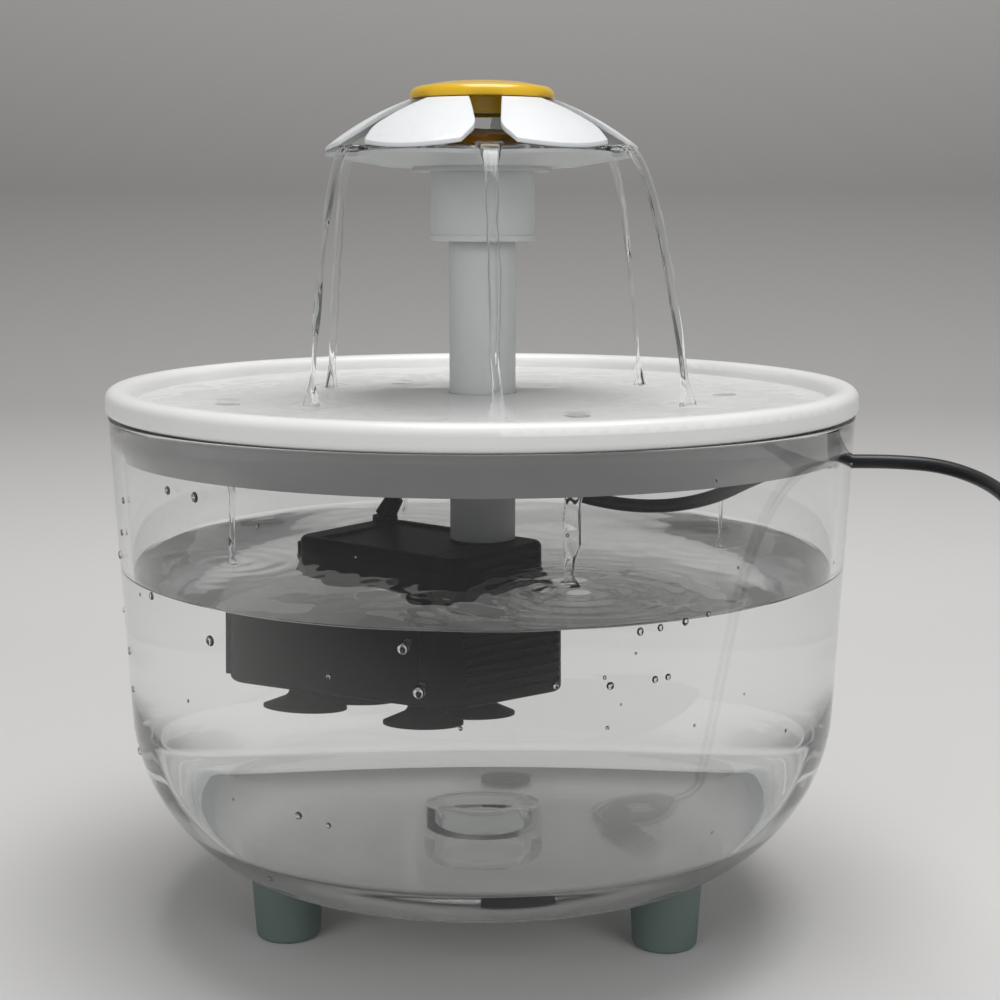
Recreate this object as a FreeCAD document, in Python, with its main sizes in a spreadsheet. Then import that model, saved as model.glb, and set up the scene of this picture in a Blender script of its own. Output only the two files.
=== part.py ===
import FreeCAD, Part
import math
import os
import Sketcher
from FreeCAD import Placement, Rotation, Vector

# A pet water fountain: a clear round tank on three feet, a white tray that lies on its rim,
# a riser pipe with a six-petal flower on top, and a submersible pump that hangs on the pipe.
# Lengths are in millimetres and turns in degrees. The frame's origin is on the floor, on the
# axis of the tank. +Z is up and the front, where the camera stands, is towards -Y.

# Driving sizes. Each one is a cell of the sheet named Sizes.
SIZES = {
    # Tank
    "rim_height": 133.0,
    "rim_radius": 94.6,
    "tank_wall": 3.0,
    "wall_slope": 0.0472,
    "heel_round": 44.8,
    "heel_drop": 36.5,
    "base_height": 22.3,
    "floor_thickness": 10.7,
    "floor_round": 4.0,
    "floor_ring_radius": 11.4,
    "floor_ring_width": 3.4,
    "floor_ring_height": 3.6,
    "rim_round": 0.8,
    "notch_width": 5.2,
    # Feet
    "foot_pitch_radius": 55.4,
    "foot_turn": 55.7,
    "foot_top_radius": 9.5,
    "foot_tip_radius": 8.1,
    "foot_tip_round": 1.2,
    "foot_plug_radius": 4.5,
    "foot_plug_height": 4.0,
    # Tray
    "tray_overhang": 0.6,
    "rest_gap": 0.3,
    "bead_height": 6.2,
    "bead_width": 6.0,
    "bead_round": 2.6,
    "tray_thickness": 2.0,
    "dish_edge_rise": 2.3,
    "dish_low_rise": 1.2,
    "dish_low_radius": 58.0,
    "dome_rise": 3.3,
    "dome_radius": 13.0,
    "skirt_gap": 0.8,
    "skirt_depth": 9.8,
    "skirt_thickness": 2.0,
    "hub_wall": 1.8,
    "hub_depth": 6.3,
    "seal_width": 2.2,
    "seal_height": 3.2,
    "drain_radius": 3.2,
    "inner_drain_pitch": 46.0,
    "inner_drain_turn": 29.0,
    "outer_drain_pitch": 65.0,
    "outer_drain_turn": -80.0,
    # Fits
    "slip_gap": 0.3,
    "seat_gap": 0.05,
    "running_gap": 0.05,
    # Riser pipe
    "pipe_radius": 8.5,
    "pipe_bore_radius": 6.5,
    "pipe_top_height": 190.8,
    # Flower base
    "collar_radius": 13.3,
    "collar_wall": 1.6,
    "collar_grip": 15.6,
    "collar_lip": 0.35,
    "collar_lip_height": 1.5,
    "socket_wall": 1.6,
    "socket_recess": 2.0,
    "flange_radius": 17.6,
    "flange_height": 1.2,
    "socket_roof": 2.6,
    "flower_turn": 32.5,
    "flower_floor": 1.7,
    "flower_radius": 39.4,
    "flower_flat_radius": 24.0,
    "tip_rise": 2.5,
    "tip_thickness": 0.9,
    "lobe_pitch_radius": 15.4,
    # Petal cap
    "cap_thickness": 1.6,
    "cap_edge_thickness": 1.0,
    "cap_top_rise": 15.4,
    "cap_round": 74.0,
    "cap_seat_radius": 18.8,
    "slot_inner_width": 9.0,
    "slot_outer_width": 5.8,
    "slot_neck_radius": 33.0,
    "slot_flare": 9.0,
    "petal_corner_round": 5.0,
    # Flower core
    "core_radius": 18.3,
    "core_height": 4.2,
    "core_round": 2.4,
    "core_stem_radius": 11.9,
    "core_stem_length": 3.9,
    "core_wall": 1.6,
    # Pump housing, in the pump's own frame: x to its intake end, y away from the near side
    "pump_turn": -39.0,
    "pump_length": 57.0,
    "pump_width": 37.0,
    "pump_height": 33.0,
    "pump_top_height": 98.5,
    "outlet_setback": 14.7,
    "outlet_offset": 9.2,
    "pump_wall": 1.8,
    "pump_corner_round": 5.0,
    "pump_edge_round": 1.6,
    "border_width": 3.0,
    "border_height": 0.7,
    "spigot_height": 12.0,
    "spigot_bore_radius": 4.4,
    "ring_width": 1.8,
    "ring_groove_depth": 0.7,
    "ring_rise": 7.0,
    # Pump intake
    "cover_length": 9.0,
    "slit_height": 1.1,
    "slit_pitch": 2.35,
    "slit_margin": 3.6,
    "foam_thickness": 4.6,
    # Pump hydraulics
    "volute_radius": 13.7,
    "volute_depth": 10.3,
    "volute_cover_thickness": 1.8,
    "eye_radius": 6.6,
    "impeller_radius": 11.4,
    "impeller_disc": 1.0,
    "blade_length": 4.6,
    "blade_thickness": 1.1,
    "blade_sweep": 9.0,
    "side_gap": 0.5,
    "rotor_hub_radius": 2.7,
    "magnet_radius": 6.3,
    "magnet_length": 16.4,
    "can_gap": 0.7,
    "can_wall": 1.4,
    "shaft_radius": 1.0,
    "bush_radius": 3.2,
    "bush_length": 3.0,
    # Pump motor
    "stator_radius": 14.1,
    "stator_length": 10.8,
    "winding_inner_radius": 10.0,
    "winding_outer_radius": 12.2,
    "winding_overhang": 1.2,
    "potting_gap": 1.2,
    # Suction cups
    "cup_radius": 8.0,
    "cup_neck_radius": 3.1,
    "cup_height": 5.7,
    "cup_lip": 0.7,
    "cup_stud_radius": 1.8,
    "cup_stud_height": 1.3,
    "cup_end_inset": 14.0,
    "cup_side_inset": 8.0,
    "cup_cross_pitch": 16.0,
    # Cord
    "cord_radius": 1.8,
    "cord_turn": -4.0,
    "cord_exit_drop": 13.6,
    "cord_exit_gap": 1.1,
    "cord_joint_gap": 0.1,
    "gland_back_inset": 3.8,
    "gland_side_inset": 4.8,
    "gland_radius": 3.5,
    "gland_height": 6.0,
    "gland_tip_radius": 2.4,
    "gland_flange": 1.4,
    "gland_lean": 30.0,
    "gland_heading": -15.0,
    # Put-away coil
    "coil_centre_x": 100.0,
    "coil_centre_y": -132.0,
    "coil_middle_radius": 20.3,
    "coil_pitch": 4.2,
    "coil_floor_gap": 0.05,
    "coil_tail": 4.6,
    # Plug
    "plug_body_length": 20.0,
    "plug_body_width": 15.0,
    "plug_body_height": 7.6,
    "plug_body_round": 2.2,
    "plug_shell_length": 12.0,
    "plug_shell_width": 12.0,
    "plug_shell_height": 4.5,
    "plug_shell_wall": 0.35,
    "plug_tongue_height": 1.9,
    "relief_length": 9.0,
    "relief_radius": 3.0,
}

FOOT_NAMES = ("foot_front_right", "foot_back", "foot_front_left")
PETALS = 6
SLITS = 12
BLADES = 6
SPOKES = 3
STATOR_POLES = 4
COIL_TURNS_PER_LAYER = 4

doc = FreeCAD.newDocument("pet_water_fountain")
sheet = doc.addObject("Spreadsheet::Sheet", "Sizes")
for row, (alias, number) in enumerate(SIZES.items(), start=1):
    sheet.set(f"A{row}", alias)
    sheet.set(f"B{row}", str(number))
    sheet.setAlias(f"B{row}", alias)
doc.recompute()


class Size:
    """A length or turn, as a number and as the formula on the sheet that gives it."""

    def __init__(self, value, formula):
        self.value = value
        self.formula = formula

    def __add__(self, other):
        other = sized(other)
        return Size(self.value + other.value, f"({self.formula} + {other.formula})")

    def __sub__(self, other):
        other = sized(other)
        return Size(self.value - other.value, f"({self.formula} - {other.formula})")

    def __mul__(self, other):
        other = sized(other)
        return Size(self.value * other.value, f"{self.formula} * {other.formula}")

    def __truediv__(self, other):
        other = sized(other)
        return Size(self.value / other.value, f"{self.formula} / {other.formula}")

    def __neg__(self):
        return Size(-self.value, f"(0 - {self.formula})")


def sized(number):
    """A plain number as a Size."""
    return number if isinstance(number, Size) else Size(float(number), repr(float(number)))


def root(size):
    """The square root of a Size."""
    return Size(math.sqrt(size.value), f"sqrt({size.formula})")


def cosine(turn):
    """The cosine of a turn in degrees."""
    return Size(math.cos(math.radians(turn.value)), f"cos({turn.formula} * 1 deg)")


def sine(turn):
    """The sine of a turn in degrees."""
    return Size(math.sin(math.radians(turn.value)), f"sin({turn.formula} * 1 deg)")


class Sheet:
    """The driving sizes by name."""

    def __getattr__(self, alias):
        return Size(SIZES[alias], f"Sizes.{alias}")


S = Sheet()


def bind(thing, path, size):
    """Bind a property to a formula on the sheet."""
    thing.setExpression(path, sized(size).formula)


def new_body(name):
    """An empty body whose Label names its node."""
    body = doc.addObject("PartDesign::Body", name)
    body.Label = name
    return body


def new_sketch(body, name, plane="XZ_Plane", lift=None):
    """A sketch on one of the body's origin planes, lifted off it along the plane's normal."""
    sketch = body.newObject("Sketcher::SketchObject", name)
    support = [f for f in body.Origin.OriginFeatures if f.Role == plane][0]
    sketch.AttachmentSupport = (support, [""])
    sketch.MapMode = "FlatFace"
    if lift is not None:
        bind(sketch, "AttachmentOffset.Base.z", lift)
    return sketch


def pin_point(sketch, geometry, point, x, y):
    """Fix one point of a sketch's geometry at x and y from the sketch's origin."""
    for kind, size in (("DistanceX", x), ("DistanceY", y)):
        index = sketch.addConstraint(Sketcher.Constraint(kind, -1, 1, geometry, point, size.value))
        bind(sketch, f"Constraints[{index}]", size)


def bind_radius(sketch, geometry, radius):
    """Fix the radius of an arc or circle of a sketch."""
    index = sketch.addConstraint(Sketcher.Constraint("Radius", geometry, radius.value))
    bind(sketch, f"Constraints[{index}]", radius)


def arc_through(start, end, radius, bulge):
    """An arc between two points, which bulges to the left (1) or right (-1) of the way."""
    chord = end - start
    middle = (start + end) * 0.5
    side = Vector(-chord.y, chord.x, 0).normalize()
    depth = math.sqrt(max(radius**2 - (chord.Length / 2) ** 2, 0))
    centre = middle - side * depth * bulge
    crown = centre + side * radius * bulge
    return Part.Arc(start, crown, end)


def outline(sketch, corners):
    """A closed outline. A corner is (x, y), with a round as a third value where it has one, or
    ("arc", x, y, radius, bulge) where an arc instead of a line leads from it to the next."""
    plain = [c[1:3] if c[0] == "arc" else c[:2] for c in corners]
    plain = [(sized(x), sized(y)) for x, y in plain]
    spots = [Vector(x.value, y.value, 0) for x, y in plain]
    first = sketch.GeometryCount
    count = len(corners)
    for i, corner in enumerate(corners):
        here = spots[i]
        there = spots[(i + 1) % count]
        if corner[0] == "arc":
            sketch.addGeometry(arc_through(here, there, sized(corner[3]).value, corner[4]), False)
        else:
            sketch.addGeometry(Part.LineSegment(here, there), False)
    # A line starts at its point 1. An arc that turns clockwise is stored the other way round.
    starts = [2 if c[0] == "arc" and c[4] > 0 else 1 for c in corners]
    for i, (x, y) in enumerate(plain):
        before = (i - 1) % count
        sketch.addConstraint(
            Sketcher.Constraint("Coincident", first + before, 3 - starts[before], first + i, starts[i])
        )
        pin_point(sketch, first + i, starts[i], x, y)
        if corners[i][0] == "arc":
            bind_radius(sketch, first + i, sized(corners[i][3]))
    for i, corner in enumerate(corners):
        if corner[0] != "arc" and len(corner) == 3:
            arc = sketch.GeometryCount
            sketch.fillet(first + i, 1, sized(corner[2]).value, True, True)
            bind_radius(sketch, arc, sized(corner[2]))


def circle(sketch, x, y, radius):
    """A circle of a sketch."""
    x, y, radius = sized(x), sized(y), sized(radius)
    spot = Vector(x.value, y.value, 0)
    index = sketch.addGeometry(Part.Circle(spot, Vector(0, 0, 1), radius.value), False)
    pin_point(sketch, index, 3, x, y)
    bind_radius(sketch, index, radius)


def rectangle(sketch, low_x, low_y, high_x, high_y):
    """A rectangle of a sketch."""
    outline(sketch, [(low_x, low_y), (high_x, low_y), (high_x, high_y), (low_x, high_y)])


def revolve(body, name, corners):
    """Turn a closed outline, in x for the radius and y for the height, about the body's Z axis."""
    sketch = new_sketch(body, name + "_outline")
    outline(sketch, corners)
    feature = body.newObject("PartDesign::Revolution", name)
    feature.Profile = sketch
    feature.ReferenceAxis = (sketch, ["V_Axis"])
    feature.Angle = 360.0
    return feature


def groove(body, name, corners):
    """Cut a closed outline away, turned about the body's Z axis."""
    sketch = new_sketch(body, name + "_outline")
    outline(sketch, corners)
    feature = body.newObject("PartDesign::Groove", name)
    feature.Profile = sketch
    feature.ReferenceAxis = (sketch, ["V_Axis"])
    feature.Angle = 360.0
    return feature


def pad(body, name, sketch, length):
    """Raise a sketch along its plane's normal."""
    feature = body.newObject("PartDesign::Pad", name)
    feature.Profile = sketch
    bind(feature, "Length", length)
    return feature


def pocket(body, name, sketch, length=None):
    """Cut a sketch away against its plane's normal, to a depth or right through."""
    feature = body.newObject("PartDesign::Pocket", name)
    feature.Profile = sketch
    if length is None:
        feature.Type = "ThroughAll"
    else:
        bind(feature, "Length", length)
    return feature


def around(body, name, feature, count):
    """Repeat a feature evenly about the body's Z axis."""
    pattern = body.newObject("PartDesign::PolarPattern", name)
    pattern.Originals = [feature]
    pattern.Axis = ([f for f in body.Origin.OriginFeatures if f.Role == "Z_Axis"][0], [""])
    pattern.Angle = 360.0
    pattern.Occurrences = count
    body.Tip = pattern
    return pattern


def round_edges(body, name, radius, wanted):
    """Round the edges of the body's last feature that the test picks."""
    doc.recompute()
    base = body.Tip
    edges = [f"Edge{i}" for i, edge in enumerate(base.Shape.Edges, start=1) if wanted(edge)]
    feature = body.newObject("PartDesign::Fillet", name)
    feature.Base = (base, edges)
    bind(feature, "Radius", radius)
    return feature


def place(thing, x=0.0, y=0.0, height=0.0, rotation=None):
    """Place a sub-part at a point and turn it about that point."""
    if rotation is not None:
        thing.Placement = Placement(Vector(0, 0, 0), rotation)
    for path, size in (("x", x), ("y", y), ("z", height)):
        bind(thing, f"Placement.Base.{path}", size)


# Places that several pieces share
TRAY_UNDER = S.rim_height + S.rest_gap
TRAY_RADIUS = S.rim_radius + S.tray_overhang
SKIRT_RADIUS = S.rim_radius - S.tank_wall - S.skirt_gap
PIPE_HOLE = S.pipe_radius + S.slip_gap
PUMP_BOTTOM = S.pump_top_height - S.pump_height
PUMP_FRONT = S.outlet_setback
PUMP_BACK = S.outlet_setback - S.pump_length
PUMP_NEAR = -(S.pump_width / 2 + S.outlet_offset)
PUMP_FAR = S.pump_width / 2 - S.outlet_offset
HOUSING_FRONT = PUMP_FRONT - S.cover_length
ROTOR_HEIGHT = S.pump_top_height - S.pump_height / 2
ROTOR_SIDE = -S.outlet_offset
SPIGOT_RADIUS = S.pipe_bore_radius - S.slip_gap
FLOWER_UNDER = S.pipe_top_height + S.slip_gap + S.socket_roof
CAP_FOOT = FLOWER_UNDER + S.tip_rise + S.tip_thickness + S.slip_gap
CAP_TOP = FLOWER_UNDER + S.cap_top_rise + S.cap_edge_thickness
CORE_FOOT = CAP_TOP + S.slip_gap
CORD_EXIT_HEIGHT = S.rim_height - S.cord_exit_drop
CORD_EXIT_X = (S.rim_radius + S.cord_exit_gap) * cosine(S.cord_turn)
CORD_EXIT_Y = (S.rim_radius + S.cord_exit_gap) * sine(S.cord_turn)
PUMP_ROTATION = Rotation(Vector(0, 0, 1), S.pump_turn.value)


def in_pump_frame(thing, x=0.0, y=0.0, height=0.0):
    """Place a sub-part at a point of the pump's frame, whose origin is the riser pipe's axis."""
    x, y = sized(x), sized(y)
    turn = S.pump_turn
    world_x = x * cosine(turn) - y * sine(turn)
    world_y = x * sine(turn) + y * cosine(turn)
    place(thing, world_x, world_y, height, PUMP_ROTATION)


def on_rotor_axis(thing, along):
    """Place a sub-part that is turned about Z so that its Z axis lies on the rotor's axis."""
    along = sized(along)
    turn = S.pump_turn
    world_x = along * cosine(turn) - ROTOR_SIDE * sine(turn)
    world_y = along * sine(turn) + ROTOR_SIDE * cosine(turn)
    tip_over = Rotation(Vector(0, 1, 0), 90)
    place(thing, world_x, world_y, ROTOR_HEIGHT, PUMP_ROTATION.multiply(tip_over))


def tank_heel(inset):
    """The tank's drafted wall and rounded heel, moved inwards by a wall thickness: the radius
    and height where the wall meets the round, the round's radius, and where it meets the flat
    underside, or the floor when it is moved inwards."""
    slant = root(sized(1) + S.wall_slope * S.wall_slope)
    centre_height = S.base_height + S.heel_drop
    wall_end = centre_height - S.heel_round * S.wall_slope / slant
    wall_radius = S.rim_radius - S.wall_slope * (S.rim_height - wall_end)
    centre_radius = wall_radius - S.heel_round / slant
    radius = S.heel_round - inset
    top_radius = centre_radius + radius / slant
    top_height = centre_height - radius * S.wall_slope / slant
    base_height = S.base_height + (sized(0) if inset.value == 0 else S.floor_thickness)
    drop = centre_height - base_height
    base_radius = centre_radius + root(radius * radius - drop * drop)
    return top_radius, top_height, radius, base_radius, base_height


def build_tank():
    body = new_body("tank_bowl")
    top_radius, top_height, radius, base_radius, base_height = tank_heel(sized(0))
    in_top_radius, in_top_height, in_radius, in_base_radius, in_base_height = tank_heel(S.tank_wall)
    revolve(
        body,
        "tank_shell",
        [
            (0, base_height),
            ("arc", base_radius, base_height, radius, -1),
            (top_radius, top_height),
            (S.rim_radius, S.rim_height, S.rim_round),
            (S.rim_radius - S.tank_wall, S.rim_height, S.rim_round),
            ("arc", in_top_radius, in_top_height, in_radius, 1),
            (in_base_radius, in_base_height),
            (0, in_base_height),
        ],
    )
    floor = in_base_height.value
    round_edges(
        body,
        "floor_round",
        S.floor_round,
        lambda e: abs(e.BoundBox.ZMax - floor) < 0.01 and abs(e.BoundBox.ZMin - floor) < 0.01,
    )
    ring_inner = S.floor_ring_radius - S.floor_ring_width
    ring_top = in_base_height + S.floor_ring_height
    revolve(
        body,
        "floor_ring",
        [
            (ring_inner, in_base_height - S.floor_thickness / 2),
            (S.floor_ring_radius, in_base_height - S.floor_thickness / 2),
            (S.floor_ring_radius, ring_top, S.floor_ring_width / 4),
            (ring_inner, ring_top, S.floor_ring_width / 4),
        ],
    )
    notch = new_sketch(body, "notch_outline", "YZ_Plane")
    half = S.notch_width / 2
    low = CORD_EXIT_HEIGHT - S.cord_radius - S.slip_gap
    top = S.rim_height + S.rim_round
    side = (S.rim_radius - S.tank_wall / 2) * sine(S.cord_turn)
    outline(
        notch,
        [
            (side - half, top),
            (side - half, low, half * 0.92),
            (side + half, low, half * 0.92),
            (side + half, top),
        ],
    )
    cut = pocket(body, "notch", notch, S.rim_radius + S.tank_wall)
    cut.Reversed = True
    sockets = new_sketch(body, "foot_sockets_outline", "XY_Plane", S.base_height)
    for index in range(len(FOOT_NAMES)):
        x, y = foot_spot(index)
        circle(sockets, x, y, S.foot_plug_radius + S.seat_gap)
    holes = pocket(body, "foot_sockets", sockets, S.foot_plug_height + S.seat_gap)
    holes.Reversed = True


def foot_spot(index):
    """The place of a foot: turns are counted from the front towards the right."""
    turn = S.foot_turn + 120.0 * index
    return S.foot_pitch_radius * sine(turn), -(S.foot_pitch_radius * cosine(turn))


def build_foot(index):
    """A tapered foot with a rounded tip and a plug that sits in the tank's underside."""
    name = FOOT_NAMES[index]
    x, y = foot_spot(index)
    seat = S.base_height - S.seat_gap
    stem = doc.addObject("Part::Cone", name + "_stem")
    bind(stem, "Radius1", S.foot_tip_radius)
    bind(stem, "Radius2", S.foot_top_radius)
    bind(stem, "Height", seat)
    place(stem, x, y)
    doc.recompute()
    rounded = doc.addObject("Part::Fillet", name + "_rounded")
    rounded.Base = stem
    tip = [i for i, e in enumerate(stem.Shape.Edges, start=1) if e.BoundBox.ZMax < 0.01]
    rounded.Edges = [(i, S.foot_tip_round.value, S.foot_tip_round.value) for i in tip]
    plug = doc.addObject("Part::Cylinder", name + "_plug")
    bind(plug, "Radius", S.foot_plug_radius)
    bind(plug, "Height", S.foot_plug_height + S.base_height / 2)
    place(plug, x, y, seat - S.base_height / 2)
    foot = doc.addObject("Part::Fuse", name)
    foot.Label = name
    foot.Base = rounded
    foot.Tool = plug


def build_tray():
    body = new_body("lid_tray")
    hub = PIPE_HOLE + S.seal_width + S.hub_wall
    top = TRAY_UNDER + S.bead_height
    low = TRAY_UNDER + S.dish_low_rise
    dome = TRAY_UNDER + S.dome_rise
    inner = TRAY_RADIUS - S.bead_width
    skirt_in = SKIRT_RADIUS - S.skirt_thickness
    under = sized(0) - S.tray_thickness
    revolve(
        body,
        "tray",
        [
            (PIPE_HOLE, dome),
            (S.dome_radius, dome),
            (S.dish_low_radius, low),
            (inner - 0.4, TRAY_UNDER + S.dish_edge_rise),
            (inner, top, S.bead_round),
            (TRAY_RADIUS, top, S.bead_round),
            (TRAY_RADIUS, TRAY_UNDER, S.bead_round / 2),
            (SKIRT_RADIUS, TRAY_UNDER),
            (SKIRT_RADIUS, TRAY_UNDER - S.skirt_depth),
            (skirt_in, TRAY_UNDER - S.skirt_depth),
            (skirt_in, TRAY_UNDER + S.dish_edge_rise + under),
            (S.dish_low_radius, low + under),
            (hub, dome + under),
            (hub, TRAY_UNDER - S.hub_depth),
            (PIPE_HOLE + S.seal_width, TRAY_UNDER - S.hub_depth),
            (PIPE_HOLE + S.seal_width, TRAY_UNDER - S.hub_depth + S.seal_height + S.seat_gap),
            (PIPE_HOLE, TRAY_UNDER - S.hub_depth + S.seal_height + S.seat_gap),
        ],
    )
    drains = new_sketch(body, "drains_outline", "XY_Plane", top)
    for pitch, start in (
        (S.inner_drain_pitch, S.inner_drain_turn),
        (S.outer_drain_pitch, S.outer_drain_turn),
    ):
        for half_turn in (0.0, 180.0):
            turn = start + half_turn
            circle(drains, pitch * sine(turn), -(pitch * cosine(turn)), S.drain_radius)
    pocket(body, "drains", drains)


def build_ring(name, inner, outer, low, high):
    """A plain ring about the tank's axis."""
    body = new_body(name)
    revolve(body, name + "_ring", [(inner, low), (outer, low), (outer, high), (inner, high)])


def build_hub_seal():
    low = TRAY_UNDER - S.hub_depth
    outer = PIPE_HOLE + S.seal_width - S.seat_gap
    build_ring("hub_seal", S.pipe_radius + S.seat_gap, outer, low, low + S.seal_height)


def build_pipe():
    low = S.pump_top_height + S.slip_gap
    build_ring("riser_pipe", S.pipe_bore_radius, S.pipe_radius, low, S.pipe_top_height)


def lobes(sketch, reach):
    """The six-lobed outline of the flower, as six equal arcs."""
    step = 360.0 / PETALS
    lobe = reach - S.lobe_pitch_radius
    first = sketch.GeometryCount
    half = math.radians(step / 2)
    meet = S.lobe_pitch_radius.value * math.cos(half) + math.sqrt(
        lobe.value**2 - (S.lobe_pitch_radius.value * math.sin(half)) ** 2
    )
    for index in range(PETALS):
        turn = math.radians(step * (index + 0.5))
        a = Vector(math.cos(turn - half), math.sin(turn - half), 0) * meet
        crown = Vector(math.cos(turn), math.sin(turn), 0) * reach.value
        b = Vector(math.cos(turn + half), math.sin(turn + half), 0) * meet
        sketch.addGeometry(Part.Arc(a, crown, b), False)
    for index in range(PETALS):
        turn = sized(step * (index + 0.5))
        arc = first + index
        pin_point(
            sketch, arc, 3, S.lobe_pitch_radius * cosine(turn), S.lobe_pitch_radius * sine(turn)
        )
        bind_radius(sketch, arc, lobe)
        after = first + (index + 1) % PETALS
        sketch.addConstraint(Sketcher.Constraint("Coincident", arc, 2, after, 1))


def trim_to_lobes(body, name, reach, lift):
    """Cut away what lies outside the flower's outline."""
    sketch = new_sketch(body, name + "_outline", "XY_Plane", lift)
    lobes(sketch, reach)
    circle(sketch, 0, 0, reach + S.slot_flare)
    pocket(body, name, sketch)


def turn_flower(body):
    """Turn a piece of the flower so that one of its slots faces the front."""
    body.Placement = Placement(Vector(0, 0, 0), Rotation(Vector(0, 0, 1), S.flower_turn.value))
    bind(body, "Placement.Rotation.Angle", S.flower_turn)


def build_flower_base():
    body = new_body("flower_base")
    low = S.pipe_top_height - S.collar_grip
    under = FLOWER_UNDER
    socket = PIPE_HOLE
    socket_out = socket + S.socket_wall
    collar_in = S.collar_radius - S.collar_wall
    stop = S.pipe_top_height + S.slip_gap
    revolve(
        body,
        "flower_dish",
        [
            (socket, low + S.socket_recess),
            (socket_out, low + S.socket_recess),
            (socket_out, stop),
            (collar_in, stop),
            (collar_in, low),
            (S.collar_radius + S.collar_lip, low),
            (S.collar_radius + S.collar_lip, low + S.collar_lip_height),
            (S.collar_radius, low + S.collar_lip_height),
            (S.collar_radius, under - S.flange_height),
            (S.flange_radius, under - S.flange_height),
            (S.flange_radius, under),
            (S.flower_flat_radius, under),
            (S.flower_radius, under + S.tip_rise),
            (S.flower_radius, under + S.tip_rise + S.tip_thickness),
            (S.flower_flat_radius, under + S.flower_floor),
            (S.pipe_bore_radius, under + S.flower_floor),
            (S.pipe_bore_radius, stop),
            (socket, stop),
        ],
    )
    trim_to_lobes(body, "dish_lobes", S.flower_radius, CAP_TOP)
    turn_flower(body)


def build_petals():
    body = new_body("flower_petals")
    hole = S.core_stem_radius + S.slip_gap
    edge_top = CAP_FOOT + S.cap_edge_thickness
    revolve(
        body,
        "cap",
        [
            (hole, CAP_TOP - S.cap_thickness),
            (hole, CAP_TOP),
            ("arc", S.cap_seat_radius, CAP_TOP, S.cap_round, 1),
            (S.flower_radius, edge_top),
            ("arc", S.flower_radius, CAP_FOOT, S.cap_round, -1),
            (S.cap_seat_radius - 0.4, CAP_TOP - S.cap_thickness),
        ],
    )
    sketch = new_sketch(body, "slot_outline", "XY_Plane", CAP_TOP)
    inner = S.slot_inner_width / 2
    outer = S.slot_outer_width / 2
    start = hole - 1.0
    end = S.flower_radius + S.slot_flare / 2
    outline(
        sketch,
        [
            (start, -inner),
            (S.slot_neck_radius, -outer, S.petal_corner_round),
            (end, -outer - S.slot_flare),
            (end, outer + S.slot_flare),
            (S.slot_neck_radius, outer, S.petal_corner_round),
            (start, inner),
        ],
    )
    slot = pocket(body, "slot", sketch)
    around(body, "slots", slot, PETALS)
    trim_to_lobes(body, "cap_lobes", S.flower_radius, CAP_TOP)
    turn_flower(body)


def build_core():
    body = new_body("flower_core")
    top = CORE_FOOT + S.core_height
    stem = S.core_stem_radius
    low = CORE_FOOT - S.core_stem_length
    revolve(
        body,
        "core",
        [
            (stem - S.core_wall, low),
            (stem, low),
            (stem, CORE_FOOT),
            (S.core_radius, CORE_FOOT, S.core_wall / 4),
            (S.core_radius, CORE_FOOT + S.core_height * 0.62, S.core_round),
            (S.core_radius * 0.55, top, S.core_radius),
            (0, top),
            (0, top - S.core_wall),
            (stem - S.core_wall, top - S.core_wall * 1.4),
        ],
    )


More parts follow.
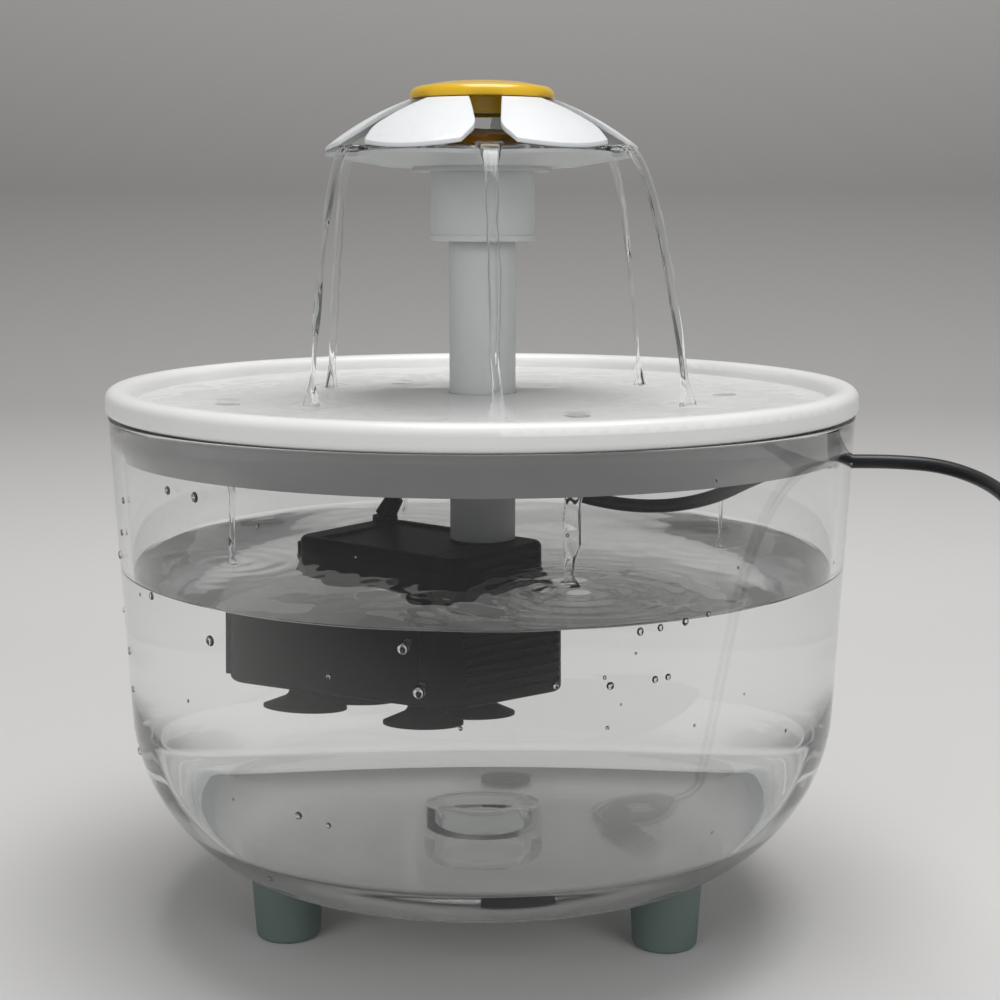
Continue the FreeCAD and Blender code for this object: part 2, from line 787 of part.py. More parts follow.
def build_housing():
    """The pump's casing: a drafted box with the rotor's can, volute, outlet and motor space."""
    body = new_body("pump_housing")
    casing = new_sketch(body, "casing_outline", "XY_Plane", PUMP_BOTTOM)
    rectangle(casing, PUMP_BACK, PUMP_NEAR, HOUSING_FRONT, PUMP_FAR)
    pad(body, "casing", casing, S.pump_height)
    back = PUMP_BACK.value
    round_edges(
        body,
        "casing_corners",
        S.pump_corner_round,
        lambda e: abs(e.Vertexes[0].X - back) < 0.01
        and abs(e.Vertexes[-1].X - back) < 0.01
        and abs(e.Vertexes[0].Z - e.Vertexes[-1].Z) > 1,
    )
    bottom = PUMP_BOTTOM.value
    high = S.pump_top_height.value
    front = HOUSING_FRONT.value
    round_edges(
        body,
        "casing_edges",
        S.pump_edge_round,
        lambda e: (abs(e.BoundBox.ZMax - bottom) < 0.01 or abs(e.BoundBox.ZMin - high) < 0.01)
        and not (e.BoundBox.XMin > front - 0.01),
    )
    panel = new_sketch(body, "panel_outline", "XY_Plane", S.pump_top_height)
    rectangle(
        panel,
        PUMP_BACK + S.gland_back_inset + S.gland_radius + S.slip_gap,
        PUMP_NEAR + S.border_width,
        HOUSING_FRONT - S.border_width,
        PUMP_FAR - S.border_width,
    )
    pocket(body, "panel", panel, S.border_height)
    seat = new_sketch(body, "seat_outline", "XY_Plane", S.pump_top_height - S.border_height)
    circle(seat, 0, 0, S.pipe_radius)
    pad(body, "seat", seat, S.border_height)
    spigot = new_sketch(body, "spigot_outline", "XY_Plane", S.pump_top_height)
    circle(spigot, 0, 0, SPIGOT_RADIUS)
    pad(body, "spigot", spigot, S.spigot_height)
    trim = new_sketch(body, "seat_trim_outline", "XY_Plane", S.pump_top_height + S.slip_gap)
    reach = S.pipe_radius + S.slip_gap
    rectangle(trim, HOUSING_FRONT, -reach, HOUSING_FRONT + reach, reach)
    pocket(body, "seat_trim", trim, S.slip_gap + S.border_height)
    space = new_sketch(body, "motor_space_outline", "YZ_Plane", PUMP_BACK)
    low_y = PUMP_NEAR + S.pump_wall
    high_y = PUMP_FAR - S.pump_wall
    low_z = PUMP_BOTTOM + S.pump_wall
    high_z = S.pump_top_height - S.pump_wall
    rectangle(space, low_y, low_z, high_y, high_z)
    depth = HOUSING_FRONT - S.volute_depth - S.pump_wall - PUMP_BACK
    hollow = pocket(body, "motor_space", space, depth)
    hollow.Reversed = True
    can = new_sketch(body, "can_outline", "YZ_Plane", HOUSING_FRONT - S.volute_depth)
    bore = S.magnet_radius + S.can_gap
    circle(can, ROTOR_SIDE, ROTOR_HEIGHT, bore + S.can_wall)
    bore_depth = S.magnet_length + S.side_gap
    rise = pad(body, "can", can, bore_depth + S.bush_length + S.can_wall)
    rise.Reversed = True
    volute = new_sketch(body, "volute_outline", "YZ_Plane", HOUSING_FRONT)
    circle(volute, ROTOR_SIDE, ROTOR_HEIGHT, S.volute_radius)
    pocket(body, "volute", volute, S.volute_depth)
    rotor = new_sketch(body, "rotor_bore_outline", "YZ_Plane", HOUSING_FRONT)
    circle(rotor, ROTOR_SIDE, ROTOR_HEIGHT, bore)
    pocket(body, "rotor_bore", rotor, S.volute_depth + bore_depth)
    bush = new_sketch(body, "bush_seat_outline", "YZ_Plane", HOUSING_FRONT)
    circle(bush, ROTOR_SIDE, ROTOR_HEIGHT, S.bush_radius + S.seat_gap)
    pocket(body, "bush_seat", bush, S.volute_depth + bore_depth + S.bush_length + S.seat_gap)
    duct = new_sketch(body, "duct_outline", "XY_Plane", S.pump_top_height + S.spigot_height)
    circle(duct, 0, 0, S.spigot_bore_radius)
    pocket(body, "duct", duct, S.spigot_height + S.pump_height / 2)
    groove(
        body,
        "ring_groove",
        [
            (SPIGOT_RADIUS - S.ring_groove_depth, S.pump_top_height + S.ring_rise),
            (SPIGOT_RADIUS + 1.0, S.pump_top_height + S.ring_rise),
            (SPIGOT_RADIUS + 1.0, S.pump_top_height + S.ring_rise + S.ring_width),
            (SPIGOT_RADIUS - S.ring_groove_depth, S.pump_top_height + S.ring_rise + S.ring_width),
        ],
    )
    studs = new_sketch(body, "stud_holes_outline", "XY_Plane", PUMP_BOTTOM)
    for x, y in cup_spots():
        circle(studs, x, y, S.cup_stud_radius + S.seat_gap)
    holes = pocket(body, "stud_holes", studs, S.cup_stud_height + S.seat_gap)
    holes.Reversed = True
    in_pump_frame(body)


def cup_spots():
    """The four suction cups' places in the pump's frame."""
    xs = (PUMP_BACK + S.cup_end_inset, PUMP_FRONT - S.cup_end_inset)
    near = PUMP_NEAR + S.cup_side_inset
    return [(x, y) for x in xs for y in (near, near + S.cup_cross_pitch)]


def build_cups():
    names = ("cup_back_near", "cup_back_far", "cup_front_near", "cup_front_far")
    neck = S.cup_neck_radius
    for name, (x, y) in zip(names, cup_spots()):
        body = new_body(name)
        revolve(
            body,
            name + "_form",
            [
                (0, S.cup_height * 0.45),
                (neck, S.cup_height * 0.3, S.cup_height / 6),
                (S.cup_radius - S.cup_lip, 0),
                (S.cup_radius, 0),
                (S.cup_radius, S.cup_lip),
                (neck, S.cup_height * 0.62, S.cup_height / 3),
                (neck, S.cup_height - S.seat_gap),
                (S.cup_stud_radius, S.cup_height - S.seat_gap),
                (S.cup_stud_radius, S.cup_height + S.cup_stud_height),
                (0, S.cup_height + S.cup_stud_height),
            ],
        )
        in_pump_frame(body, x, y, PUMP_BOTTOM - S.cup_height)


def build_outlet_ring():
    low = S.pump_top_height + S.ring_rise + S.seat_gap
    high = low + S.ring_width - S.seat_gap * 2
    inner = SPIGOT_RADIUS - S.ring_groove_depth + S.seat_gap
    build_ring("outlet_ring", inner, S.pipe_bore_radius - S.running_gap, low, high)


def build_rear_cover():
    body = new_body("pump_rear_cover")
    sketch = new_sketch(body, "rear_cover_outline", "YZ_Plane", PUMP_BACK)
    rectangle(
        sketch,
        PUMP_NEAR + S.pump_wall + S.seat_gap,
        PUMP_BOTTOM + S.pump_wall + S.seat_gap,
        PUMP_FAR - S.pump_wall - S.seat_gap,
        S.pump_top_height - S.pump_wall - S.seat_gap,
    )
    pad(body, "rear_cover", sketch, S.pump_wall)
    in_pump_frame(body)


def build_potting():
    """The resin block that fills the motor space behind the rotor's can."""
    body = new_body("motor_potting")
    start = PUMP_BACK + S.pump_wall
    can_end = HOUSING_FRONT - S.volute_depth - S.magnet_length - S.side_gap
    can_end = can_end - S.bush_length - S.can_wall
    sketch = new_sketch(body, "potting_outline", "YZ_Plane", start)
    rectangle(
        sketch,
        PUMP_NEAR + S.pump_wall + S.seat_gap,
        PUMP_BOTTOM + S.pump_wall + S.seat_gap,
        PUMP_FAR - S.pump_wall - S.seat_gap,
        S.pump_top_height - S.pump_wall - S.seat_gap,
    )
    pad(body, "potting", sketch, can_end - start - S.seat_gap)
    in_pump_frame(body)


def build_intake_cover():
    """The cap on the pump's intake end, a shell with a row of level slits across its face."""
    body = new_body("intake_cover")
    start = HOUSING_FRONT + S.slip_gap
    casing = new_sketch(body, "cover_outline", "XY_Plane", PUMP_BOTTOM)
    rectangle(casing, start, PUMP_NEAR, PUMP_FRONT, PUMP_FAR)
    pad(body, "cover", casing, S.pump_height)
    front = PUMP_FRONT.value
    round_edges(
        body,
        "cover_corners",
        S.pump_corner_round,
        lambda e: abs(e.Vertexes[0].X - front) < 0.01
        and abs(e.Vertexes[-1].X - front) < 0.01
        and abs(e.Vertexes[0].Z - e.Vertexes[-1].Z) > 1,
    )
    bottom = PUMP_BOTTOM.value
    high = S.pump_top_height.value
    back = start.value
    round_edges(
        body,
        "cover_edges",
        S.pump_edge_round,
        lambda e: (abs(e.BoundBox.ZMax - bottom) < 0.01 or abs(e.BoundBox.ZMin - high) < 0.01)
        and not (e.BoundBox.XMax < back + 0.01),
    )
    space = new_sketch(body, "cover_space_outline", "YZ_Plane", start)
    rectangle(
        space,
        PUMP_NEAR + S.pump_wall,
        PUMP_BOTTOM + S.pump_wall,
        PUMP_FAR - S.pump_wall,
        S.pump_top_height - S.pump_wall,
    )
    hollow = pocket(body, "cover_space", space, PUMP_FRONT - S.pump_wall - start)
    hollow.Reversed = True
    slits = new_sketch(body, "slits_outline", "YZ_Plane", PUMP_FRONT)
    first = ROTOR_HEIGHT - S.slit_pitch * ((SLITS - 1) / 2) - S.slit_height / 2
    for index in range(SLITS):
        low = first + S.slit_pitch * index
        rectangle(
            slits, PUMP_NEAR + S.slit_margin, low, PUMP_FAR - S.slit_margin, low + S.slit_height
        )
    pocket(body, "slits", slits, S.pump_wall * 2)
    in_pump_frame(body)


def build_foam():
    body = new_body("intake_foam")
    gap = S.slip_gap
    sketch = new_sketch(body, "foam_outline", "YZ_Plane", PUMP_FRONT - S.pump_wall - gap)
    rectangle(
        sketch,
        PUMP_NEAR + S.pump_wall + gap,
        PUMP_BOTTOM + S.pump_wall + gap,
        PUMP_FAR - S.pump_wall - gap,
        S.pump_top_height - S.pump_wall - gap,
    )
    block = pad(body, "foam", sketch, S.foam_thickness)
    block.Reversed = True
    in_pump_frame(body)


def build_volute_cover():
    """The plate in front of the impeller, with its round eye, spokes and bush hub."""
    body = new_body("volute_cover")
    hub_out = S.bush_radius + S.pump_wall / 2
    thick = S.volute_cover_thickness
    revolve(
        body,
        "plate",
        [
            (S.eye_radius, 0),
            (S.volute_radius - S.seat_gap, 0),
            (S.volute_radius - S.seat_gap, thick),
            (S.eye_radius, thick),
        ],
    )
    hub = new_sketch(body, "hub_outline", "XY_Plane", thick - S.bush_length)
    circle(hub, 0, 0, hub_out)
    circle(hub, 0, 0, S.bush_radius + S.seat_gap)
    spoke = new_sketch(body, "spoke_outline", "XY_Plane")
    rectangle(spoke, hub_out - 0.3, -S.pump_wall / 2, S.eye_radius + 0.3, S.pump_wall / 2)
    arm = pad(body, "spoke", spoke, thick)
    around(body, "spokes", arm, SPOKES)
    pad(body, "bush_hub", hub, S.bush_length)
    on_rotor_axis(body, HOUSING_FRONT - thick)


def build_bush(name, along):
    """A bush on the rotor's axis, from its own start along the axis."""
    body = new_body(name)
    bore = S.shaft_radius + S.running_gap
    high = S.bush_length - S.seat_gap
    revolve(body, name + "_ring", [(bore, 0), (S.bush_radius, 0), (S.bush_radius, high), (bore, high)])
    on_rotor_axis(body, along)


def build_rotor():
    """The magnet and the impeller, which turn together on the fixed shaft."""
    bore = S.shaft_radius + S.running_gap
    volute_floor = HOUSING_FRONT - S.volute_depth
    disc_back = volute_floor + S.side_gap
    magnet = new_body("rotor_magnet")
    length = S.magnet_length
    revolve(
        magnet,
        "magnet",
        [(bore, 0), (S.magnet_radius, 0), (S.magnet_radius, length), (bore, length)],
    )
    on_rotor_axis(magnet, disc_back - length)
    impeller = new_body("impeller")
    hub = S.rotor_hub_radius
    disc = S.impeller_disc
    revolve(
        impeller,
        "impeller_hub",
        [
            (bore, 0),
            (S.impeller_radius, 0),
            (S.impeller_radius, disc),
            (hub, disc),
            (hub, disc + S.blade_length * 0.6),
            (bore, disc + S.blade_length * 0.6),
        ],
    )
    sketch = new_sketch(impeller, "blade_outline", "XY_Plane", disc - 0.2)
    reach = S.impeller_radius - 0.2
    outline(
        sketch,
        [
            ("arc", hub - 0.3, 0, S.blade_sweep, 1),
            (reach, 0),
            ("arc", reach, -S.blade_thickness, S.blade_sweep, -1),
            (hub - 0.3, -S.blade_thickness),
        ],
    )
    blade = pad(impeller, "blade", sketch, S.blade_length * 0.6 + 0.2)
    around(impeller, "blades", blade, BLADES)
    on_rotor_axis(impeller, disc_back)


def build_shaft():
    """The fixed shaft, held by a bush at each end."""
    body = new_body("rotor_shaft")
    volute_floor = HOUSING_FRONT - S.volute_depth
    start = volute_floor - S.magnet_length - S.side_gap - S.bush_length
    end = HOUSING_FRONT - S.seat_gap * 2
    sketch = new_sketch(body, "shaft_outline", "XY_Plane")
    circle(sketch, 0, 0, S.shaft_radius)
    pad(body, "shaft", sketch, end - start)
    on_rotor_axis(body, start)


def build_stator():
    """The ring of laminations round the rotor's can, with a winding in each of its windows."""
    can = S.magnet_radius + S.can_gap + S.can_wall + S.seat_gap
    middle = HOUSING_FRONT - S.volute_depth - S.side_gap - S.magnet_length / 2
    start = middle - S.stator_length / 2
    core = new_body("stator_core")
    revolve(
        core,
        "laminations",
        [
            (can, 0),
            (S.stator_radius, 0),
            (S.stator_radius, S.stator_length),
            (can, S.stator_length),
        ],
    )
    window = new_sketch(core, "window_outline", "XY_Plane", S.stator_length)
    winding_section(window, sized(0))
    cut = pocket(core, "window", window)
    around(core, "windows", cut, STATOR_POLES)
    on_rotor_axis(core, start)
    coils = new_body("stator_coils")
    section = new_sketch(coils, "winding_outline", "XY_Plane")
    winding_section(section, S.seat_gap)
    bar = pad(coils, "winding", section, S.stator_length + S.winding_overhang * 2)
    coils.AllowCompound = True
    around(coils, "windings", bar, STATOR_POLES)
    on_rotor_axis(coils, start - S.winding_overhang)


def winding_section(sketch, gap):
    """The curved window between two poles, less a gap all round."""
    inner = S.winding_inner_radius + gap
    outer = S.winding_outer_radius - gap
    half = sized(31.0)
    outline(
        sketch,
        [
            ("arc", inner * cosine(half), inner * sine(half), inner, 1),
            (inner * cosine(half), -(inner * sine(half))),
            ("arc", outer * cosine(half), -(outer * sine(half)), outer, -1),
            (outer * cosine(half), outer * sine(half)),
        ],
    )


def gland_spot():
    """Where the cord enters the pump, in the pump's frame."""
    return PUMP_BACK + S.gland_back_inset, PUMP_FAR - S.gland_side_inset


def build_gland():
    """The soft boot where the cord leaves the pump's top: a flange and a leaning sleeve."""
    x, y = gland_spot()
    turn = S.pump_turn
    world_x = x * cosine(turn) - y * sine(turn)
    world_y = x * sine(turn) + y * cosine(turn)
    flange = doc.addObject("Part::Cylinder", "gland_flange_disc")
    bind(flange, "Radius", S.gland_radius)
    bind(flange, "Height", S.gland_flange)
    place(flange, world_x, world_y, S.pump_top_height + S.seat_gap)
    sleeve = doc.addObject("Part::Cone", "gland_sleeve")
    bind(sleeve, "Radius1", S.gland_tip_radius + 0.5)
    bind(sleeve, "Radius2", S.gland_tip_radius)
    bind(sleeve, "Height", S.gland_height)
    place(sleeve, world_x, world_y, S.pump_top_height + S.gland_flange, gland_rotation())
    foot = doc.addObject("Part::Cylinder", "gland_foot")
    bind(foot, "Radius", S.gland_radius + S.gland_height)
    bind(foot, "Height", S.gland_height)
    place(foot, world_x, world_y, S.pump_top_height + S.seat_gap - S.gland_height)
    above = doc.addObject("Part::Cut", "gland_sleeve_above")
    above.Base = sleeve
    above.Tool = foot
    gland = doc.addObject("Part::Fuse", "cord_gland")
    gland.Label = "cord_gland"
    gland.Base = flange
    gland.Tool = above


def gland_rotation():
    """The sleeve's lean off the vertical, towards the cord's way to the notch."""
    swing = Rotation(Vector(0, 0, 1), S.gland_heading.value)
    return swing.multiply(Rotation(Vector(0, 1, 0), S.gland_lean.value))


def gland_end():
    """The point at the sleeve's end where the cord starts, and its heading there."""
    x, y = gland_spot()
    spot = PUMP_ROTATION.multVec(Vector(x.value, y.value, 0))
    foot = Vector(spot.x, spot.y, S.pump_top_height.value + S.gland_flange.value)
    lean = gland_rotation().multVec(Vector(0, 0, 1))
    return foot + lean * (S.gland_height.value + S.seat_gap.value), lean


def inner_route():
    """The cord's route inside the tank: up from the pump, behind the pipe, to the notch."""
    start, lean = gland_end()
    end = Vector(CORD_EXIT_X.value, CORD_EXIT_Y.value, CORD_EXIT_HEIGHT.value)
    first = start + lean * 9.5
    return [
        start,
        first,
        first + Vector(9.3, -2.0, 5.2),
        first + Vector(20.5, -3.0, 5.3),
        Vector(15.5, 20.0, 109.6),
        Vector(38.0, 11.5, 104.6),
        Vector(58.0, 3.6, 107.0),
        Vector(73.5, -2.6, 116.2),
        Vector(85.0, -5.9, 119.3),
        end,
    ]


def free_route():
    """The cord's route outside the tank: out of the notch, forwards and down to the floor."""
    start = Vector(CORD_EXIT_X.value, CORD_EXIT_Y.value, CORD_EXIT_HEIGHT.value)
    way = (start - inner_route()[-2]).normalize()
    start += way * S.cord_joint_gap.value
    entry, heading = coil_entry()
    return [
        start,
        start + way * 10.0,
        Vector(116.1, -13.0, 119.2),
        Vector(123.7, -23.5, 117.2),
        Vector(126.6, -37.2, 114.5),
        Vector(128.0, -52.0, 109.0),
        Vector(129.0, -66.0, 98.5),
        Vector(129.6, -77.5, 82.5),
        Vector(129.9, -86.0, 61.0),
        Vector(130.0, -93.2, 41.0),
        entry + Vector(-0.5, 28.9, 22.2),
        entry + Vector(-0.2, 24.9, 13.0),
        entry + Vector(0.0, 18.6, 5.6),
        entry + Vector(0.0, 10.0, 0.8),
        entry,
    ]


def bent_wire(points, name):
    """Straight runs joined by tangent arcs, each as large as its two runs allow."""
    edges = []
    radii = []
    last = points[0]
    for before, here, after in zip(points, points[1:], points[2:]):
        into = (here - before).normalize()
        out = (after - here).normalize()
        turn = into.getAngle(out)
        shorter = min((here - before).Length, (after - here).Length)
        tangent = 0.45 * shorter
        radius = tangent / math.tan(turn / 2)
        radii.append(radius)
        start = here - into * tangent
        end = here + out * tangent
        inward = (out - into).normalize()
        crown = here + inward * (radius / math.cos(turn / 2) - radius)
        edges.append(Part.LineSegment(last, start).toShape())
        edges.append(Part.Arc(start, crown, end).toShape())
        last = end
    edges.append(Part.LineSegment(last, points[-1]).toShape())
    print(name, "arc radii", [round(radius, 1) for radius in radii])
    return Part.Wire(edges)


def tube(wire, name):
    """A round tube along a wire, with its volume held against its section times its length."""
    first = wire.Edges[0]
    start = first.valueAt(first.FirstParameter)
    heading = first.tangentAt(first.FirstParameter)
    ring = Part.Wire(Part.Circle(start, heading, S.cord_radius.value).toShape())
    solid = wire.makePipeShell([ring], True, False)
    expected = math.pi * S.cord_radius.value**2 * wire.Length
    print(name, "length", round(wire.Length, 1), "volume ratio", round(solid.Volume / expected, 4))
    feature = doc.addObject("Part::Feature", name)
    feature.Label = name
    feature.Shape = solid
    return feature


def coil_radius_and_height(turns):
    """The winding's radius and height after a number of turns: in on the floor, half a turn to
    climb, out again on top, and a last half turn that comes down beside the outermost turn."""
    count = COIL_TURNS_PER_LAYER
    pitch = S.coil_pitch.value
    middle = count + 0.25
    inner = S.coil_middle_radius.value - pitch * middle / 2
    low = S.cord_radius.value + S.coil_floor_gap.value
    high = low + pitch
    plug_height = S.plug_body_height.value / 2 + S.coil_floor_gap.value
    away = turns - middle
    if away < -0.25:
        return inner - pitch * away, low
    if away <= 0.25:
        rise = (1 - math.cos(math.pi * (away + 0.25) / 0.5)) / 2
        return inner + pitch * (2 * away**2 + 0.125), low + (high - low) * rise
    part = max((away - middle + 0.5) / 0.5, 0.0)
    ease = (1 - math.cos(math.pi * part)) / 2
    drop = (high - plug_height) * ease**2
    return inner + pitch * away + S.coil_tail.value * ease, high - drop


COIL_START_TURN = 0.0


def coil_point(turns):
    """A point of the coil's centreline. It winds to the right, seen from above."""
    radius, height = coil_radius_and_height(turns)
    angle = math.radians(COIL_START_TURN) - 2 * math.pi * turns
    centre = Vector(S.coil_centre_x.value, S.coil_centre_y.value, 0)
    return centre + Vector(radius * math.cos(angle), radius * math.sin(angle), height)


def coil_heading(turns):
    """The direction of the coil's centreline."""
    small = 0.001
    return (coil_point(turns + small) - coil_point(max(turns - small, 0))).normalize()


def coil_entry():
    """Where the free cord meets the coil, and its heading there."""
    heading = coil_heading(0.0)
    heading.z = 0
    heading.normalize()
    return coil_point(0.0) - heading * (2 * S.cord_radius.value), heading


def biarc(start, heading, end, end_heading):
    """Two tangent arcs from one point and heading to another."""
    chord = end - start
    both = heading + end_heading
    across = 2 * (1 - heading.dot(end_heading))
    along = chord.dot(both)
    reach = (-along + math.sqrt(along**2 + across * chord.dot(chord))) / across
    first = start + heading * reach
    second = end - end_heading * reach
    joint = (first + second) * 0.5
    arcs = []
    for a, control, b in ((start, first, joint), (joint, second, end)):
        middle = (a + b) * 0.5
        half = (b - a).Length / 2
        rise = control - middle
        sag = half * math.tan(math.atan2(rise.Length, half) / 2)
        arcs.append(Part.Arc(a, middle + rise.normalize() * sag, b).toShape())
    return arcs


def build_coil():
    """The put-away length as one unbroken tube, wound in two layers."""
    turns = 2 * COIL_TURNS_PER_LAYER + 0.5
    steps = int(turns * 4)
    entry, heading = coil_entry()
    edges = [Part.LineSegment(entry, coil_point(0.0)).toShape()]
    for step in range(steps):
        a, b = step / 4, (step + 1) / 4
        start_heading = heading if step == 0 else coil_heading(a)
        edges += biarc(coil_point(a), start_heading, coil_point(b), coil_end_heading(b, turns))
    tail = coil_end_heading(turns, turns)
    end = coil_point(turns)
    edges.append(Part.LineSegment(end, end + tail * (2 * S.cord_radius.value)).toShape())
    feature = tube(Part.Wire(edges), "cord_coil")
    spots = [coil_point(turns * i / 1200) for i in range(1201)]
    apart = int(1200 * 0.5 / turns)
    gap = min(
        (spots[i] - spots[j]).Length
        for i in range(0, len(spots), 3)
        for j in range(i + apart, len(spots), 3)
    )
    print("cord_coil least gap to itself", round(gap - 2 * S.cord_radius.value, 3))
    return feature


def coil_end_heading(turns, last):
    """The heading at a turn, level at the very end."""
    heading = coil_heading(turns)
    if turns >= last:
        heading.z = 0
        heading.normalize()
    return heading


def plug_frame():
    """The plug's start, which is the coil's end, and its rotation, which turns X to its heading."""
    turns = 2 * COIL_TURNS_PER_LAYER + 0.5
    heading = coil_end_heading(turns, turns)
    start = coil_point(turns) + heading * (2 * S.cord_radius.value)
    return start, Rotation(Vector(1, 0, 0), heading)


def build_plug():
    """The flat USB plug: a strain relief, a moulded grip, a folded metal shell and its tongue."""
    start, rotation = plug_frame()
    relief = new_body("plug_relief")
    half_height = S.plug_body_height / 2
    revolve(
        relief,
        "relief",
        [
            (0, 0),
            (S.cord_radius + 0.5, 0),
            (S.relief_radius, S.relief_length),
            (0, S.relief_length),
        ],
    )
    relief.Placement = Placement(start, rotation.multiply(Rotation(Vector(0, 1, 0), 90)))
    grip = new_body("plug_grip")
    sketch = new_sketch(grip, "grip_outline", "YZ_Plane", S.relief_length)
    half_width = S.plug_body_width / 2
    round_size = S.plug_body_round
    outline(
        sketch,
        [
            (-half_width, -half_height, round_size),
            (half_width, -half_height, round_size),
            (half_width, half_height, round_size),
            (-half_width, half_height, round_size),
        ],
    )
    pad(grip, "grip", sketch, S.plug_body_length)
    grip.Placement = Placement(start, rotation)
    shell = new_body("plug_shell")
    section = new_sketch(shell, "shell_outline", "YZ_Plane", S.relief_length + S.plug_body_length)
    half_w, half_h = S.plug_shell_width / 2, S.plug_shell_height / 2
    wall = S.plug_shell_wall
    rectangle(section, -half_w, -half_h, half_w, half_h)
    rectangle(section, wall - half_w, wall - half_h, half_w - wall, half_h - wall)
    pad(shell, "shell", section, S.plug_shell_length)
    shell.Placement = Placement(start, rotation)
    tongue = new_body("plug_tongue")
    slab = new_sketch(tongue, "tongue_outline", "YZ_Plane", S.relief_length + S.plug_body_length)
    rectangle(
        slab,
        wall + S.seat_gap - half_w,
        wall + S.seat_gap - half_h,
        half_w - wall - S.seat_gap,
        wall + S.seat_gap - half_h + S.plug_tongue_height,
    )
    pad(tongue, "tongue", slab, S.plug_shell_length - 1.0)
    tongue.Placement = Placement(start, rotation)


build_tank()
for foot_index in range(len(FOOT_NAMES)):
    build_foot(foot_index)
build_tray()
build_hub_seal()
build_pipe()
build_flower_base()
build_petals()
build_core()
build_housing()
build_rear_cover()
build_potting()
build_intake_cover()
build_foam()
build_volute_cover()
build_bush("shaft_bush_front", HOUSING_FRONT - S.bush_length)
build_bush(
    "shaft_bush_back",
    HOUSING_FRONT - S.volute_depth - S.magnet_length - S.side_gap - S.bush_length,
)
build_rotor()
build_shaft()
build_stator()
build_cups()
build_outlet_ring()
build_gland()
tube(bent_wire(inner_route(), "cord_inner"), "cord_inner")
tube(bent_wire(free_route(), "cord_free"), "cord_free")
build_coil()
build_plug()
doc.recompute()

# The sub-parts that are pieces of the fountain, each written to its own file
NODES = [thing for thing in doc.Objects if thing.TypeId == "PartDesign::Body"]
NODES += [doc.getObject(name) for name in FOOT_NAMES]
NODES += [doc.getObject(name) for name in ("cord_gland", "cord_inner", "cord_free", "cord_coil")]

for thing in doc.Objects:
    if "Invalid" in thing.State or "Error" in thing.State:
        raise ValueError(f"{thing.Label} did not rebuild: {thing.State}")
for node in NODES:
    if node.Shape.isNull() or not node.Shape.isValid() or not node.Shape.Solids:
        raise ValueError(f"{node.Label} has no sound solid")
os.makedirs("parts", exist_ok=True)
for node in NODES:
    node.Shape.exportStep(f"parts/{node.Label}.step")
print(len(NODES), "sub-parts written")
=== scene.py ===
import math
import random
from math import atan, cos, exp, hypot, pi, radians, sin, sqrt

import bmesh
import bpy
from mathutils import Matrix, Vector, noise


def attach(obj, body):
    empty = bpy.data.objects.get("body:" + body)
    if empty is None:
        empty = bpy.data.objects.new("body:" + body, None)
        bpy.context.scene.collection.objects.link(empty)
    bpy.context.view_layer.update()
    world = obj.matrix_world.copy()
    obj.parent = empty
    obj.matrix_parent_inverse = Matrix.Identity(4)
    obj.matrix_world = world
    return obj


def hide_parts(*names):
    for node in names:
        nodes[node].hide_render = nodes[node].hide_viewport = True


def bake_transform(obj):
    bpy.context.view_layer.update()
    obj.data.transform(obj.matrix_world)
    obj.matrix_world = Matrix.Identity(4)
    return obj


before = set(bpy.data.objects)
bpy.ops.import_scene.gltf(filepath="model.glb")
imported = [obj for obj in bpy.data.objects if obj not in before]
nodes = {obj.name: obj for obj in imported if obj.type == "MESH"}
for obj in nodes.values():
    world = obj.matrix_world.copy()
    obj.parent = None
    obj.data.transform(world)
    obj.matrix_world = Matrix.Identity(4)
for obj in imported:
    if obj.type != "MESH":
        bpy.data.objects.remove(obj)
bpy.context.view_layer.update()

random.seed(7)
MM = 0.001
scene = bpy.context.scene


# ---------------------------------------------------------------- materials
def material(name):
    mat = bpy.data.materials.new(name)
    mat.use_nodes = True
    tree = mat.node_tree
    return mat, tree, tree.nodes["Principled BSDF"]


def put(tree, kind, **inputs):
    node = tree.nodes.new(kind)
    for key, value in inputs.items():
        node.inputs[key.replace("_", " ")].default_value = value
    return node


def ramp(tree, source, stops):
    node = tree.nodes.new("ShaderNodeValToRGB")
    node.color_ramp.elements[0].position = stops[0][0]
    node.color_ramp.elements[0].color = (*stops[0][1], 1)
    node.color_ramp.elements[1].position = stops[-1][0]
    node.color_ramp.elements[1].color = (*stops[-1][1], 1)
    for position, colour in stops[1:-1]:
        node.color_ramp.elements.new(position).color = (*colour, 1)
    tree.links.new(source, node.inputs["Fac"])
    return node


